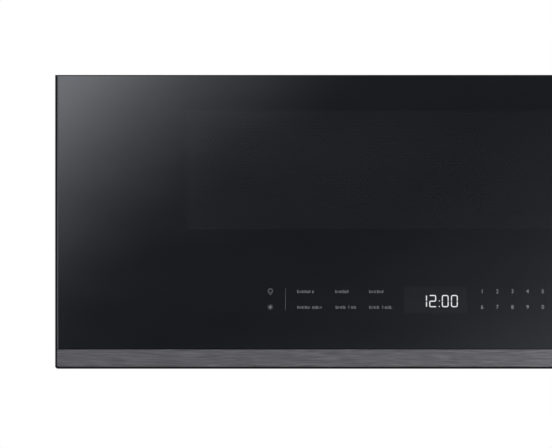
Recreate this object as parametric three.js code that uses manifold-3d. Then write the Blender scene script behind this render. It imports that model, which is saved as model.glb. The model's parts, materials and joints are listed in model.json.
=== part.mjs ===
// A low-profile over-the-range microwave oven with a built-in extractor hood.
// Millimetres, +Z up. The oven faces -Y and hangs with its wall plate against the wall, which is y = 0.
// The model is built from its underside (z = 0) and the finished group is lowered by half its height,
// so that its origin is the centre of the wall plate's back face.

import * as THREE from "three";
import { mergeVertices } from "three/addons/utils/BufferGeometryUtils.js";
import Module from "manifold-3d";

// ---------------------------------------------------------------- driving dimensions

// Width, from left to right: side gap, cooking cavity, component bay
const sideGap = 50;
const cavityWidth = 560;
const bayWidth = 149;
// Height, from the underside up: hood plenum, cooking cavity, return air duct
const plenumHeight = 82;
const cavityHeight = 165;
const ductHeight = 15;
// Depth, from the front back: door, gap, cooking cavity, blower bay
const doorDepth = 36;
const doorGap = 2;
const cavityDepth = 326;
const rearDepth = 100;

const sheet = 1.2; // folded steel of the case
const thinSheet = 1; // cavity and door stampings
const clearance = 0.3; // between pieces that touch or fit each other
const bodyInset = 2; // the case is narrower than the door on each side

// Wall plate and rear panel
const plateThickness = 1.6;
const plateWidth = 680;
const plateMargin = 34; // above and below the plate
const plateSlotRadius = 4;
const cordBushingRadius = 13;
const cordBushingWall = 5;
const cordFromRight = 62;
const cordFromWall = 52;
const cabinetBoltRadius = 5;
const cabinetBoltFromSide = 76;
const cabinetBoltFromWall = 160;
const hookWidth = 46;
const hookHeight = 16;
const hookSpacing = 480;

// Door
const glassThickness = 4;
const glassSideLip = 1.6; // dark line beside the glass: the bezel's edge and its gap
const glassTopLip = 0.9;
const bezelCorner = 2.5; // its two lower corners
const stripCorner = 1.5;
const bezelWall = 3;
const bezelRecess = 0.6; // the bezel's edge stands behind the glass face
const glassFlange = 12;
const stripLip = 1.9;
const stripTop = 17.2;
const stripGap = 0.6;
const stripReturn = 7;
const innerPanelThickness = 2;
const gripWidth = 25;
const gripMargin = 26; // from the door's ends to the finger pocket
const chokeWidth = 28;
const chokeSetback = 16; // from the glass face to the choke panel
const paneThickness = 2;
const paneLap = 8;

// The viewing window, from the door's left, top and bottom edges
const windowLeftMargin = 117;
const windowTopMargin = 31.6;
const windowSill = 124.5;

// Touch controls, centred on the door
const boardWidth = 400;
const boardBottom = 40;
const boardHeight = 48;
const boardThickness = 1.6;
const displayWidth = 56;
const displayHeight = 24;
const displayDepth = 7;
const displayFromLeft = 338.6;
const displayCentre = 61;

// Door hinge
const hingeInset = 10; // axis from the door's left edge
const hingeSetback = 15; // axis from the door's back
const pinRadius = 3;
const pinLength = 18;
const pinHeadRadius = 4.5;
const pinHead = 1;
const hingeLeaf = 2.2;
const hingeDrop = 5; // from the door's end to the top of the leaf's layer
const hingeArmWidth = 20;
const hingeFlangeHeight = 30;
const hingeNotch = 35;

// Door latch
const latchWidth = 6;
const latchPlateDepth = 16;
const latchFromCavity = 36;
const latchTravel = 4;
const latchSpringHeight = 14;
const hookArm = 7;
const hookReach = 22; // behind the front frame's face
const hookBarb = 4;
const hookBarbLength = 5;
const upperHook = 212;
const lowerHook = 112;

// Turntable
const trayRadius = 148;
const trayThickness = 4;
const trayRim = 12;
const ringRadius = 92;
const ringSection = 5;
const rollerRadius = 8;
const rollerWidth = 8;
const rollerBore = 2.3;
const rollerPin = 2;
const rollerCount = 3;
const couplerRadius = 20;
const couplerShaft = 5;
const couplerFoot = 2; // over the cavity floor
const couplerSocket = 8;
const couplerLobes = 3;
const trayMotorRadius = 25;
const trayMotorHeight = 16;

// Extractor hood
const filterWidth = 270;
const filterDepth = 130;
const filterThickness = 9;
const filterFrame = 9;
const filterFromCentre = 195;
const filterFromWall = 195;
const lensWidth = 92;
const lensDepth = 38;
const lensFromCentre = 200;
const lensFromFront = 54; // behind the front frame
const lampHousingHeight = 12;
const lampHousingWall = 2;
const wheelRadius = 36;
const wheelWidth = 96;
const wheelBlades = 20;
const scrollWall = 1.6;
const scrollGap = 5;
const blowerMotorRadius = 32;
const blowerMotorLength = 56;
const shaftRadius = 4;
const shaftOverhang = 28; // into each scroll
const scrollFromMotor = 14;
const grilleWidth = 600;
const grilleDepth = 58;
const grilleSlats = 8;
const grilleFromFront = 14;

// Microwave generator and its cooling, in the bay on the right
const guideDepth = 16;
const guideLength = 96;
const guideHeight = 78;
const guideFromBack = 60; // in front of the cavity's back wall
const magnetronWidth = 72;
const magnetronFins = 9;
const coreWidth = 92;
const coreHeight = 74;
const coreDepth = 62;
const capacitorLength = 86;
const capacitorSpread = 20; // between the axes of its two round ends
const strapFromEnd = 30;
const strapWidth = 14;
const fanRadius = 52;
const fanBlades = 5;
const fanTunnel = 24;
const fanSpider = 3;
const fanMotorLength = 30;
const supplyBoardDepth = 56;
const supplyBoardHeight = 110;
const standoffLength = 7;
const standoffInset = 6;
const relayInset = 8;
const relayDepth = 18;
const relayHeight = 16;
const relayReach = 15;
const relayStart = 14;
const relayPitch = 26;
const inductorDepth = 22;
const inductorHeight = 28;
const inductorReach = 22;
const fanAboveTray = 44;
const bayFloorHeight = 30;

// ---------------------------------------------------------------- planes worked out from them

const width = sideGap + cavityWidth + bayWidth;
const height = plenumHeight + cavityHeight + ductHeight;
const depth = doorDepth + doorGap + cavityDepth + rearDepth;

const left = -width / 2;
const right = width / 2;
const doorFront = -depth;
const doorBack = doorFront + doorDepth;
const frameFront = doorBack + doorGap;
const frameBack = frameFront + sheet;
const cavityBack = frameFront + cavityDepth;
const cavityLeft = left + sideGap;
const cavityRight = cavityLeft + cavityWidth;
const cavityFloor = plenumHeight;
const cavityRoof = cavityFloor + cavityHeight;
const cavityCentreX = (cavityLeft + cavityRight) / 2;
const cavityCentreY = (frameFront + cavityBack) / 2;
const caseLeft = left + bodyInset;
const caseRight = right - bodyInset;
const rearPanelBack = -plateThickness - clearance;
const rearPanelFront = rearPanelBack - sheet;
const glassBack = doorFront + glassThickness;
const innerPanelFront = doorBack - innerPanelThickness;
const bezelBack = innerPanelFront - clearance;
const hingeShelfTop = height - hingeDrop - 2 * clearance;
const hingeShelfBottom = hingeShelfTop - bezelWall;
const windowLeft = left + windowLeftMargin;
const windowRight = cavityLeft + cavityRight - windowLeft;
const windowTop = height - windowTopMargin;
const hingeX = left + hingeInset;
const hingeY = doorBack - hingeSetback;
const latchX = cavityRight + latchFromCavity;
const bayLeft = cavityRight + thinSheet;
const bayRight = caseRight - sheet;

// ---------------------------------------------------------------- materials

const finish = (color, roughness, metalness = 0) =>
  new THREE.MeshStandardMaterial({ color, roughness, metalness });

const materials = {
  blackGlass: finish(0x1a1b1f, 0.06),
  darkSteel: finish(0x59595e, 0.34, 1),
  darkPlastic: finish(0x17181a, 0.42),
  panelPlastic: finish(0x232427, 0.5),
  paintedSteel: finish(0x1d1e20, 0.45),
  zincSteel: finish(0xa9abad, 0.38, 1),
  enamel: finish(0x8e9092, 0.35),
  stainless: finish(0xb5b5b2, 0.28, 1),
  aluminium: finish(0xc3c5c7, 0.35, 1),
  clearGlass: finish(0xdfe8e6, 0.04),
  lensPlastic: finish(0xe9e9e4, 0.3),
  whitePlastic: finish(0xdddcd6, 0.45),
  circuitBoard: finish(0x1f5a3a, 0.5),
  mica: finish(0xcfc6ae, 0.6),
  charcoal: finish(0x1b1b1b, 0.95),
  copper: finish(0x9c5a32, 0.4, 1),
  coreSteel: finish(0x54565a, 0.5, 1),
  rubber: finish(0x202020, 0.8),
};

// ---------------------------------------------------------------- solids

const wasm = await Module();
wasm.setup();

/** A closed geometry as a solid that can be cut and joined. */
function solid(geometry) {
  const bare = geometry.clone();
  bare.deleteAttribute("normal");
  bare.deleteAttribute("uv");
  const merged = mergeVertices(bare, 1e-4);
  return new wasm.Manifold(
    new wasm.Mesh({
      numProp: 3,
      vertProperties: merged.attributes.position.array,
      triVerts: new Uint32Array(merged.index.array),
    }),
  );
}

/** A block between two corners. */
function block([x0, y0, z0], [x1, y1, z1]) {
  const box = new THREE.BoxGeometry();
  const corners = box.attributes.position;
  for (let index = 0; index < corners.count; index += 1) {
    const x = corners.getX(index) < 0 ? x0 : x1;
    const y = corners.getY(index) < 0 ? y0 : y1;
    const z = corners.getZ(index) < 0 ? z0 : z1;
    corners.setXYZ(index, x, y, z);
  }
  return solid(box);
}

/** A round bar that starts at a point and runs along "x", "y" or "z". */
function bar(radius, length, [x, y, z], along = "z", sides = 32) {
  const cylinder = new THREE.CylinderGeometry(radius, radius, length, sides);
  cylinder.translate(0, length / 2, 0);
  if (along === "x") cylinder.rotateZ(-Math.PI / 2);
  if (along === "z") cylinder.rotateX(Math.PI / 2);
  return solid(cylinder.translate(x, y, z));
}

/** A ring about the z axis, from its inner and outer radius. */
function ring(inner, outer, z0, z1, sides = 48) {
  return bar(outer, z1 - z0, [0, 0, z0], "z", sides).subtract(
    bar(inner, z1 - z0 + 2, [0, 0, z0 - 1], "z", sides),
  );
}

/** An outline drawn in the y-z plane and extruded along x. */
function extrudeAlongX(outline, x0, x1) {
  const geometry = new THREE.ExtrudeGeometry(outline, {
    depth: x1 - x0,
    bevelEnabled: false,
    curveSegments: 10,
  });
  // The outline's x and y become the model's y and z, and its depth becomes x.
  const turn = new THREE.Matrix4().makeBasis(
    new THREE.Vector3(0, 1, 0),
    new THREE.Vector3(0, 0, 1),
    new THREE.Vector3(1, 0, 0),
  );
  return solid(geometry.applyMatrix4(turn).translate(x0, 0, 0));
}

/** Joins several solids into one. */
const join = (first, ...rest) => rest.reduce((whole, piece) => whole.add(piece), first);

/** Cuts several solids out of one. */
const cut = (whole, ...tools) => tools.reduce((left_, tool) => left_.subtract(tool), whole);

/** The named mesh of a finished solid. */
function piece(name, material, made, position = [0, 0, 0], rotation = [0, 0, 0]) {
  const { vertProperties, triVerts } = made.getMesh();
  const geometry = new THREE.BufferGeometry();
  geometry.setAttribute("position", new THREE.BufferAttribute(new Float32Array(vertProperties), 3));
  geometry.setIndex(new THREE.BufferAttribute(new Uint32Array(triVerts), 1));
  geometry.computeVertexNormals();
  const mesh = new THREE.Mesh(geometry, material);
  mesh.name = name;
  mesh.position.set(...position);
  mesh.rotation.set(...rotation);
  return mesh;
}

/** A solid turned upside down about the middle of the oven's height. */
const flip = (made) => made.mirror([0, 0, 1]).translate([0, 0, height]);

// ---------------------------------------------------------------- case

/** The steel plate that is screwed to the wall, with two hooks that carry the oven. */
function wallPlate() {
  const plate = block(
    [-plateWidth / 2, -plateThickness, plateMargin],
    [plateWidth / 2, 0, height - plateMargin],
  );
  const screwSlots = [-3, -2, -1, 1, 2, 3].flatMap((column) =>
    [0.3, 0.75].map((share) => {
      const x = (column * plateWidth) / 8;
      const z = plateMargin + share * (height - 2 * plateMargin);
      const slot = block(
        [x - 2 * plateSlotRadius, -plateThickness - 1, z - plateSlotRadius],
        [x + 2 * plateSlotRadius, 1, z + plateSlotRadius],
      );
      return slot;
    }),
  );
  const hookZ = plateMargin + 8;
  const hooks = [-1, 1].flatMap((side) => {
    const x = (side * hookSpacing) / 2;
    const reach = rearPanelFront - clearance;
    return [
      block(
        [x - hookWidth / 2, reach - plateThickness, hookZ],
        [x + hookWidth / 2, -plateThickness / 2, hookZ + plateThickness],
      ),
      block(
        [x - hookWidth / 2, reach - plateThickness, hookZ],
        [x + hookWidth / 2, reach, hookZ + hookHeight],
      ),
    ];
  });
  return join(cut(plate, ...screwSlots), ...hooks);
}

/** The flat back of the case, with slots for the wall plate's hooks. */
function rearPanel() {
  const panel = block(
    [caseLeft + sheet + clearance, rearPanelFront, sheet + clearance],
    [caseRight - sheet - clearance, rearPanelBack, height - sheet - clearance],
  );
  const slots = [-1, 1].map((side) => {
    const x = (side * hookSpacing) / 2;
    const z = plateMargin + 8;
    return block(
      [x - hookWidth / 2 - 2, rearPanelFront - 1, z - 2],
      [x + hookWidth / 2 + 2, rearPanelBack + 1, z + hookHeight + 2],
    );
  });
  return cut(panel, ...slots);
}

/** The top and both sides, folded from one sheet. */
function outerWrap() {
  const front = frameFront;
  const shell = cut(
    block([caseLeft, front, 0], [caseRight, rearPanelBack, height]),
    block(
      [caseLeft + sheet, front - 1, -1],
      [caseRight - sheet, rearPanelBack + 1, height - sheet],
    ),
  );
  const ventY = front + grilleFromFront;
  const vent = block(
    [-grilleWidth / 2 - clearance, ventY - clearance, height - sheet - 1],
    [grilleWidth / 2 + clearance, ventY + grilleDepth + clearance, height + 1],
  );
  const boltHoles = [-1, 1].map((side) =>
    bar(
      cabinetBoltRadius,
      sheet + 2,
      [side * (width / 2 - cabinetBoltFromSide), -cabinetBoltFromWall, height - sheet - 1],
      "z",
      24,
    ),
  );
  return cut(shell, vent, cordHole(cordBushingRadius), ...boltHoles);
}

const cordX = right - cordFromRight;
const cordY = -cordFromWall;

/** A round cut through the top at the mains lead's place. */
function cordHole(radius) {
  return bar(radius, 20, [cordX, cordY, height - 10], "z", 24);
}

/** The plastic bushing that lines the mains lead's hole. */
function cordBushing() {
  const neck = cordBushingRadius - clearance;
  const top = height + 2.4;
  return cut(
    join(
      bar(neck, 12, [cordX, cordY, top - 12], "z", 24),
      bar(neck + 4, 2, [cordX, cordY, height + clearance], "z", 24),
      bar(neck + 2.5, 2, [cordX, cordY, height - sheet - clearance - 2], "z", 24),
    ),
    bar(cordBushingRadius - cordBushingWall, 40, [cordX, cordY, height - 20], "z", 24),
  );
}

/** Plan of the underside's openings, as [x0, x1, y0, y1]. */
const filterOpening = (side) => {
  const x = side * filterFromCentre;
  const y = -filterFromWall;
  return [x - filterWidth / 2, x + filterWidth / 2, y - filterDepth / 2, y + filterDepth / 2];
};
const lensOpening = (side) => {
  const x = side * lensFromCentre;
  const y = frameFront + lensFromFront;
  return [x - lensWidth / 2, x + lensWidth / 2, y - lensDepth / 2, y + lensDepth / 2];
};

/** The underside, with a walled opening for each filter and a window for each lamp. */
function basePan() {
  const flange = 14;
  const inset = sheet + clearance;
  const x0 = caseLeft + inset;
  const x1 = caseRight - inset;
  const y0 = frameBack + clearance;
  const y1 = rearPanelFront - clearance;
  let pan = cut(
    block([x0, y0, 0], [x1, y1, flange]),
    block([x0 + sheet, y0 + sheet, sheet], [x1 - sheet, y1 - sheet, flange + 1]),
  );
  for (const side of [-1, 1]) {
    const [fx0, fx1, fy0, fy1] = filterOpening(side);
    const wallTop = filterThickness + 2 * sheet;
    const stop = 4; // lip that the filter is pushed up against
    const outer = block(
      [fx0 - clearance - sheet, fy0 - clearance - sheet, 0],
      [fx1 + clearance + sheet, fy1 + clearance + sheet, wallTop],
    );
    const inner = block(
      [fx0 - clearance, fy0 - clearance, -1],
      [fx1 + clearance, fy1 + clearance, wallTop - sheet],
    );
    const throat = block([fx0 + stop, fy0 + stop, -1], [fx1 - stop, fy1 - stop, wallTop + 1]);
    pan = cut(pan.add(outer), inner, throat);
    const [lx0, lx1, ly0, ly1] = lensOpening(side);
    pan = pan.subtract(
      block([lx0 - clearance, ly0 - clearance, -1], [lx1 + clearance, ly1 + clearance, 4]),
    );
  }
  const hingeRoom = block(
    [x0 - 1, y0 - 1, sheet],
    [hingeX + hingeArmWidth, y0 + 3, flange + 1],
  );
  return pan.subtract(hingeRoom);
}

/** The steel front of the case, round the cavity's mouth. */
function frontFrame() {
  const plate = block(
    [caseLeft + sheet + clearance, frameFront, clearance],
    [caseRight - sheet - clearance, frameBack, height - sheet - clearance],
  );
  const mouth = block(
    [cavityLeft, frameFront - 1, cavityFloor],
    [cavityRight, frameBack + 1, cavityRoof],
  );
  const latchSlots = [upperHook, lowerHook].map((z) => latchSlot(z, frameFront, frameBack));
  const tongue = block(
    [hingeX - hingeArmWidth / 2 - 1, frameFront - 1, hingeDrop - hingeLeaf - 1],
    [hingeX + hingeArmWidth, frameBack + 1, hingeDrop + 1],
  );
  return cut(plate, mouth, ...latchSlots, tongue, flip(tongue));
}

/** The hole that a door hook passes through, with room for its lift. */
function latchSlot(z, y0, y1) {
  return block(
    [latchX - 2, y0 - 1, z - hookBarb - 1],
    [latchX + latchWidth + 3, y1 + 1, z + hookArm + latchTravel + 1],
  );
}

/** The louvred outlet in the top, behind the door. */
function ventGrille() {
  const y0 = frameFront + grilleFromFront;
  const y1 = y0 + grilleDepth;
  const frame = 5;
  const grilleHeight = 3.4;
  const z0 = height - grilleHeight;
  const rim = cut(
    block([-grilleWidth / 2, y0, z0], [grilleWidth / 2, y1, height]),
    block(
      [-grilleWidth / 2 + frame, y0 + frame, z0 - 1],
      [grilleWidth / 2 - frame, y1 - frame, height + 1],
    ),
  );
  const pitch = (grilleDepth - 2 * frame) / grilleSlats;
  const slats = Array.from({ length: grilleSlats }, (_, index) => {
    const y = y0 + frame + (index + 0.5) * pitch;
    const outline = new THREE.Shape()
      .moveTo(y - pitch * 0.42, z0 + 0.2)
      .lineTo(y - pitch * 0.2, z0 + 0.2)
      .lineTo(y + pitch * 0.3, height - 0.2)
      .lineTo(y + pitch * 0.08, height - 0.2)
      .closePath();
    return extrudeAlongX(outline, -grilleWidth / 2 + frame / 2, grilleWidth / 2 - frame / 2);
  });
  const ribs = [-1 / 3, 0, 1 / 3].map((share) =>
    block(
      [share * grilleWidth - 1.5, y0 + 1, z0],
      [share * grilleWidth + 1.5, y1 - 1, height - 1],
    ),
  );
  return join(rim, ...slats, ...ribs);
}

/** The charcoal pad under the louvres. */
function charcoalFilter() {
  const y0 = frameFront + grilleFromFront;
  const padTop = height - 3.4 - clearance;
  return block(
    [-grilleWidth / 2 + 8, y0 + 2, cavityRoof + thinSheet + clearance],
    [grilleWidth / 2 - 8, y0 + grilleDepth - 2, padTop],
  );
}

// ---------------------------------------------------------------- cooking cavity and turntable

const feedLength = guideLength - 16;
const feedHeight = guideHeight - 18;
const guideY = cavityBack - guideFromBack - guideLength;
const guideZ = cavityRoof - 8 - guideHeight;

/** The feed opening in the cavity's right wall, widened by a margin. */
function feedOpening(x0, x1, margin = 0) {
  return block(
    [x0, guideY + 8 - margin, guideZ + 9 - margin],
    [x1, guideY + 8 + feedLength + margin, guideZ + 9 + feedHeight + margin],
  );
}

/** The welded steel box that food is cooked in, open at the front. */
function cavity() {
  const wall = thinSheet;
  const box = cut(
    block(
      [cavityLeft - wall, frameBack, cavityFloor - wall],
      [cavityRight + wall, cavityBack + wall, cavityRoof + wall],
    ),
    block(
      [cavityLeft, frameBack - 1, cavityFloor],
      [cavityRight, cavityBack, cavityRoof],
    ),
  );
  const shaftHole = bar(
    couplerShaft + 2,
    4 * wall,
    [cavityCentreX, cavityCentreY, cavityFloor - 2 * wall],
    "z",
    24,
  );
  return cut(box, shaftHole, feedOpening(cavityRight - wall, cavityRight + 2 * wall));
}

/** The mica sheet over the feed opening, inside the cavity. */
const waveguideCover = () =>
  feedOpening(cavityRight - clearance - 0.8, cavityRight - clearance, 6);

/** The rectangular duct between the magnetron and the cavity. */
function waveguide() {
  const x0 = bayLeft + clearance;
  const x1 = x0 + guideDepth;
  const duct = block(
    [x0, guideY, guideZ],
    [x1, guideY + guideLength, guideZ + guideHeight],
  );
  const hollow = block(
    [x0 - 1, guideY + 2, guideZ + 2],
    [x1 - thinSheet, guideY + guideLength - 2, guideZ + guideHeight - 2],
  );
  const antennaHole = bar(
    14,
    6,
    [x1 - 4, guideY + guideLength / 2, guideZ + guideHeight / 2],
    "x",
    20,
  );
  return cut(duct, hollow, antennaHole);
}

/** The magnetron: magnets and yoke, cooling fins between them, filter box and antenna. */
function magnetron() {
  const x0 = bayLeft + 2 * clearance + guideDepth;
  const y = guideY + guideLength / 2;
  const z = guideZ + guideHeight / 2;
  const half = 36;
  const yokeEnd = x0 + magnetronWidth;
  const parts = [
    block([x0, y - half, z - half], [x0 + 3, y + half, z + half]),
    block([yokeEnd - 3, y - half, z - half], [yokeEnd, y + half, z + half]),
    block([x0, y - half, z + half - 2], [yokeEnd, y + half, z + half]),
    block([x0, y - half, z - half], [yokeEnd, y + half, z - half + 2]),
    bar(16, magnetronWidth, [x0, y, z], "x", 20),
    bar(26, 12, [x0, y, z], "x", 20),
    bar(26, 12, [yokeEnd - 12, y, z], "x", 20),
    bar(10, guideDepth - 2, [x0 - guideDepth + 2, y, z], "x", 16),
  ];
  const finSpan = magnetronWidth - 28;
  for (let index = 0; index < magnetronFins; index += 1) {
    const x = x0 + 14 + ((index + 0.5) * finSpan) / magnetronFins;
    parts.push(block([x - 0.5, y - half + 4, z - half + 1], [x + 0.5, y + half - 4, z + half - 1]));
  }
  const filterBox = block(
    [yokeEnd - 1, y - 26, z - 20],
    [Math.min(yokeEnd + 26, bayRight - 2), y + 26, z + 20],
  );
  return join(...parts, filterBox);
}

/** The hub that turns the tray, with a socket for the motor's shaft. */
function driveCoupler() {
  const hubTop = rollerTop - 0.6;
  const hub = bar(couplerRadius * 0.55, hubTop - couplerFoot, [0, 0, couplerFoot], "z", 24);
  const socket = bar(
    couplerShaft + clearance,
    couplerSocket + 1,
    [0, 0, couplerFoot - 1],
    "z",
    20,
  );
  const lobes = Array.from({ length: couplerLobes }, (_, index) =>
    block([0, -4, 6], [couplerRadius, 4, hubTop]).rotate([0, 0, (index * 360) / couplerLobes]),
  );
  return cut(join(hub, ...lobes), socket);
}

const rollerTop = 2 * rollerRadius + clearance;

/** The hoop that carries the rollers, with an axle for each. */
function rollerRing() {
  const axleZ = rollerRadius + clearance;
  const hoop = ring(
    ringRadius - ringSection,
    ringRadius,
    axleZ - ringSection / 2,
    axleZ + ringSection / 2,
  );
  const start = ringRadius + 2;
  const axle = join(
    bar(rollerPin, rollerWidth + 6, [ringRadius - 2, 0, axleZ], "x", 16),
    bar(rollerPin + 1.5, 2 - clearance, [ringRadius - 0.5, 0, axleZ], "x", 16),
    bar(rollerPin + 1, 1.5, [start + rollerWidth + clearance, 0, axleZ], "x", 16),
  );
  const axles = Array.from({ length: rollerCount }, (_, index) =>
    axle.rotate([0, 0, (index * 360) / rollerCount]),
  );
  return join(hoop, ...axles);
}

/** One roller, about the x axis. */
const roller = () =>
  bar(rollerRadius, rollerWidth, [0, 0, 0], "x", 28).subtract(
    bar(rollerBore, rollerWidth + 2, [-1, 0, 0], "x", 16),
  );

/** The glass tray: a shallow dish with a raised rim, and three ribs that the coupler drives. */
function glassTray() {
  const floorRadius = trayRadius - 14;
  const t = trayThickness;
  const profile = [
    [0, 0],
    [floorRadius, 0],
    [trayRadius - 4, trayRim - t],
    [trayRadius, trayRim - t],
    [trayRadius, trayRim],
    [trayRadius - 5, trayRim],
    [floorRadius - 2, t],
    [0, t],
  ].map(([r, z]) => new THREE.Vector2(r, z));
  const dish = solid(new THREE.LatheGeometry(profile, 56).rotateX(Math.PI / 2));
  const ribs = Array.from({ length: couplerLobes }, (_, index) =>
    block([couplerRadius * 0.7, -3, -5], [couplerRadius + 8, 3, 1]).rotate([
      0,
      0,
      ((index + 0.5) * 360) / couplerLobes,
    ]),
  );
  return join(dish, ...ribs);
}

/** The slow gear motor under the cavity floor, its shaft through the floor. */
function trayMotor() {
  const top = -thinSheet - clearance;
  const can = bar(trayMotorRadius, trayMotorHeight, [0, 0, top - trayMotorHeight], "z", 32);
  const ears = block(
    [-trayMotorRadius - 9, -6, top - 1.5],
    [trayMotorRadius + 9, 6, top],
  );
  const shaftTop = couplerFoot + couplerSocket - clearance;
  const shaft = bar(couplerShaft, shaftTop - top + 1, [0, 0, top - 1], "z", 20);
  return join(can, ears, shaft);
}

/** Everything that turns in the cavity, about the turntable's axis. */
function turntable() {
  const group = new THREE.Group();
  group.position.set(cavityCentreX, cavityCentreY, cavityFloor);
  group.add(piece("turntable_motor", materials.zincSteel, trayMotor()));
  group.add(piece("drive_coupler", materials.whitePlastic, driveCoupler()));
  group.add(piece("roller_ring", materials.whitePlastic, rollerRing()));
  for (let index = 0; index < rollerCount; index += 1) {
    const angle = (index * 2 * Math.PI) / rollerCount;
    const start = ringRadius + 2;
    group.add(
      piece(
        `roller_${index + 1}`,
        materials.whitePlastic,
        roller(),
        [start * Math.cos(angle), start * Math.sin(angle), rollerRadius + clearance],
        [0, 0, angle],
      ),
    );
  }
  group.add(
    piece("glass_tray", materials.clearGlass, glassTray(), [0, 0, rollerTop + clearance]),
  );
  return group;
}

// ---------------------------------------------------------------- door

/** The plastic bezel: a shallow tub that holds the glass, the strip and the latch. */
function doorBezel() {
  const front = doorFront + bezelRecess;
  const shell = cut(
    block([left, front, 0], [right, bezelBack, height]),
    block(
      [left + bezelWall, front - 1, bezelWall],
      [right - bezelWall, bezelBack + 1, height - bezelWall],
    ),
  );
  const seatFront = glassBack + clearance;
  const seat = cut(
    block([left + 1, seatFront, 1], [right - 1, seatFront + 2, height - 1]),
    block(
      [left + glassFlange, seatFront - 1, boardBottom - 4],
      [right - glassFlange, seatFront + 3, height - glassFlange],
    ),
  );
  const glassPocket = block(
    [left + glassSideLip - clearance, front - 1, stripTop + stripGap - clearance],
    [right - glassSideLip + clearance, glassBack + clearance, height - glassTopLip + clearance],
  );
  const stripPocket = block(
    [left + glassSideLip - clearance, front - 1, stripLip - clearance],
    [right - glassSideLip + clearance, doorFront + stripReturn + clearance, stripTop + stripGap],
  );
  // The finger pocket behind the glass at the door's free edge
  const gripFront = seatFront + 2;
  const gripX = right - gripWidth;
  const pocketShell = block(
    [gripX - bezelWall, gripFront - 1, gripMargin - bezelWall],
    [right, bezelBack, height - gripMargin + bezelWall],
  );
  const pocket = block(
    [gripX, gripFront, gripMargin],
    [right + 1, bezelBack + 1, height - gripMargin],
  );
  // Blocks that the hinge pins turn in, below and above the hinge leaves
  const hingeBlock = block(
    [left, hingeY - 9, hingeShelfTop - pinLength - 3],
    [cavityLeft - chokeWidth - clearance, hingeY + 9, hingeShelfTop],
  );
  const shelf = block(
    [left, hingeY - 9, hingeShelfBottom],
    [left + hingeNotch + bezelWall, bezelBack, hingeShelfTop],
  );
  const notch = block(
    [left - 1, doorFront + 11, hingeShelfTop],
    [left + hingeNotch, doorBack + 1, height + 1],
  );
  const bore = bar(
    pinRadius + clearance,
    pinLength + 1,
    [hingeX, hingeY, hingeShelfTop - pinLength],
    "z",
    24,
  );
  let bezel = cut(join(shell, seat), glassPocket, stripPocket);
  bezel = bezel.add(pocketShell).subtract(pocket);
  // Guide rails of the latch
  const railY = latchFront - clearance;
  const rails = [latchX - clearance - 2, latchX + latchWidth + clearance].map((x) =>
    block([x, railY - 4, lowerHook - 10], [x + 2, bezelBack, latchTop]),
  );
  const railBack = block(
    [latchX - clearance - 2, seatFront + 1, stripTop + 2],
    [latchX + latchWidth + clearance + 2, railY, height - bezelWall + 1],
  );
  bezel = join(bezel, ...rails, railBack);
  bezel = cut(
    join(cut(bezel, notch, flip(notch)), hingeBlock, flip(hingeBlock), shelf, flip(shelf)),
    bore,
    flip(bore),
    lowerCorner(-1, width / 2, 0, bezelCorner),
    lowerCorner(1, width / 2, 0, bezelCorner),
  );
  return bezel;
}

/** What a rounded lower corner leaves over, on the left (-1) or the right (1) of the door. */
function lowerCorner(side, halfWidth, bottom, radius) {
  const y0 = doorFront - 1;
  const centre = side * (halfWidth - radius);
  const outside = side * (halfWidth + 1);
  return cut(
    block(
      [Math.min(centre, outside), y0, bottom - 1],
      [Math.max(centre, outside), doorBack, bottom + radius],
    ),
    bar(radius, doorDepth + 2, [centre, y0 - 1, bottom + radius], "y", 32),
  );
}

/** The printed safety glass over the whole front, above the strip. */
const doorGlass = () =>
  block(
    [left + glassSideLip, doorFront, stripTop + stripGap],
    [right - glassSideLip, glassBack, height - glassTopLip],
  );

/** The brushed strip under the glass, folded back at its top and bottom. */
function trimStrip() {
  const x0 = left + glassSideLip;
  const x1 = right - glassSideLip;
  return cut(
    block([x0, doorFront, stripLip], [x1, doorFront + stripReturn, stripTop]),
    block(
      [x0 - 1, doorFront + sheet, stripLip + sheet],
      [x1 + 1, doorFront + stripReturn + 1, stripTop - sheet],
    ),
    lowerCorner(-1, x1, stripLip, stripCorner),
    lowerCorner(1, x1, stripLip, stripCorner),
  );
}

/** The steel panel in the door, with the window screen and the choke channel round it. */
function chokePanel() {
  const front = doorFront + chokeSetback;
  const back = innerPanelFront - clearance;
  const x0 = cavityLeft - chokeWidth;
  const x1 = cavityRight + chokeWidth;
  const z0 = cavityFloor - chokeWidth;
  const z1 = hingeShelfBottom - clearance;
  const tub = cut(
    block([x0, front, z0], [x1, back, z1]),
    block(
      [x0 + thinSheet, front + thinSheet, z0 + thinSheet],
      [x1 - thinSheet, back + 1, z1 - thinSheet],
    ),
  );
  // The wall between the choke channel and the window
  const lap = paneLap + 6;
  const channel = cut(
    block([windowLeft - lap, front, windowSill - lap], [windowRight + lap, chokeBack, windowTop + lap]),
    block(
      [windowLeft - lap + thinSheet, front - 1, windowSill - lap + thinSheet],
      [windowRight + lap - thinSheet, back + 1, windowTop + lap - thinSheet],
    ),
  );
  return join(tub, channel);
}

const chokeBack = innerPanelFront - clearance - paneThickness - 2 * clearance;

/** The clear pane on the cavity side of the screen. */
const innerWindow = () =>
  block(
    [windowLeft - paneLap, innerPanelFront - clearance - paneThickness, windowSill - paneLap],
    [windowRight + paneLap, innerPanelFront - clearance, windowTop + paneLap],
  );

/** The plastic panel that covers the door's back, round the window. */
function doorInnerPanel() {
  const panel = block(
    [left + 8, innerPanelFront, clearance],
    [right - gripWidth - bezelWall, doorBack, height - clearance],
  );
  const opening = block(
    [windowLeft, innerPanelFront - 1, windowSill],
    [windowRight, doorBack + 1, windowTop],
  );
  const slots = [upperHook, lowerHook].map((z) => latchSlot(z, innerPanelFront, doorBack));
  const notch = block(
    [left - 1, innerPanelFront - 1, hingeShelfTop],
    [left + hingeNotch, doorBack + 1, height + 1],
  );
  return cut(panel, opening, ...slots, notch, flip(notch));
}

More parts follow.
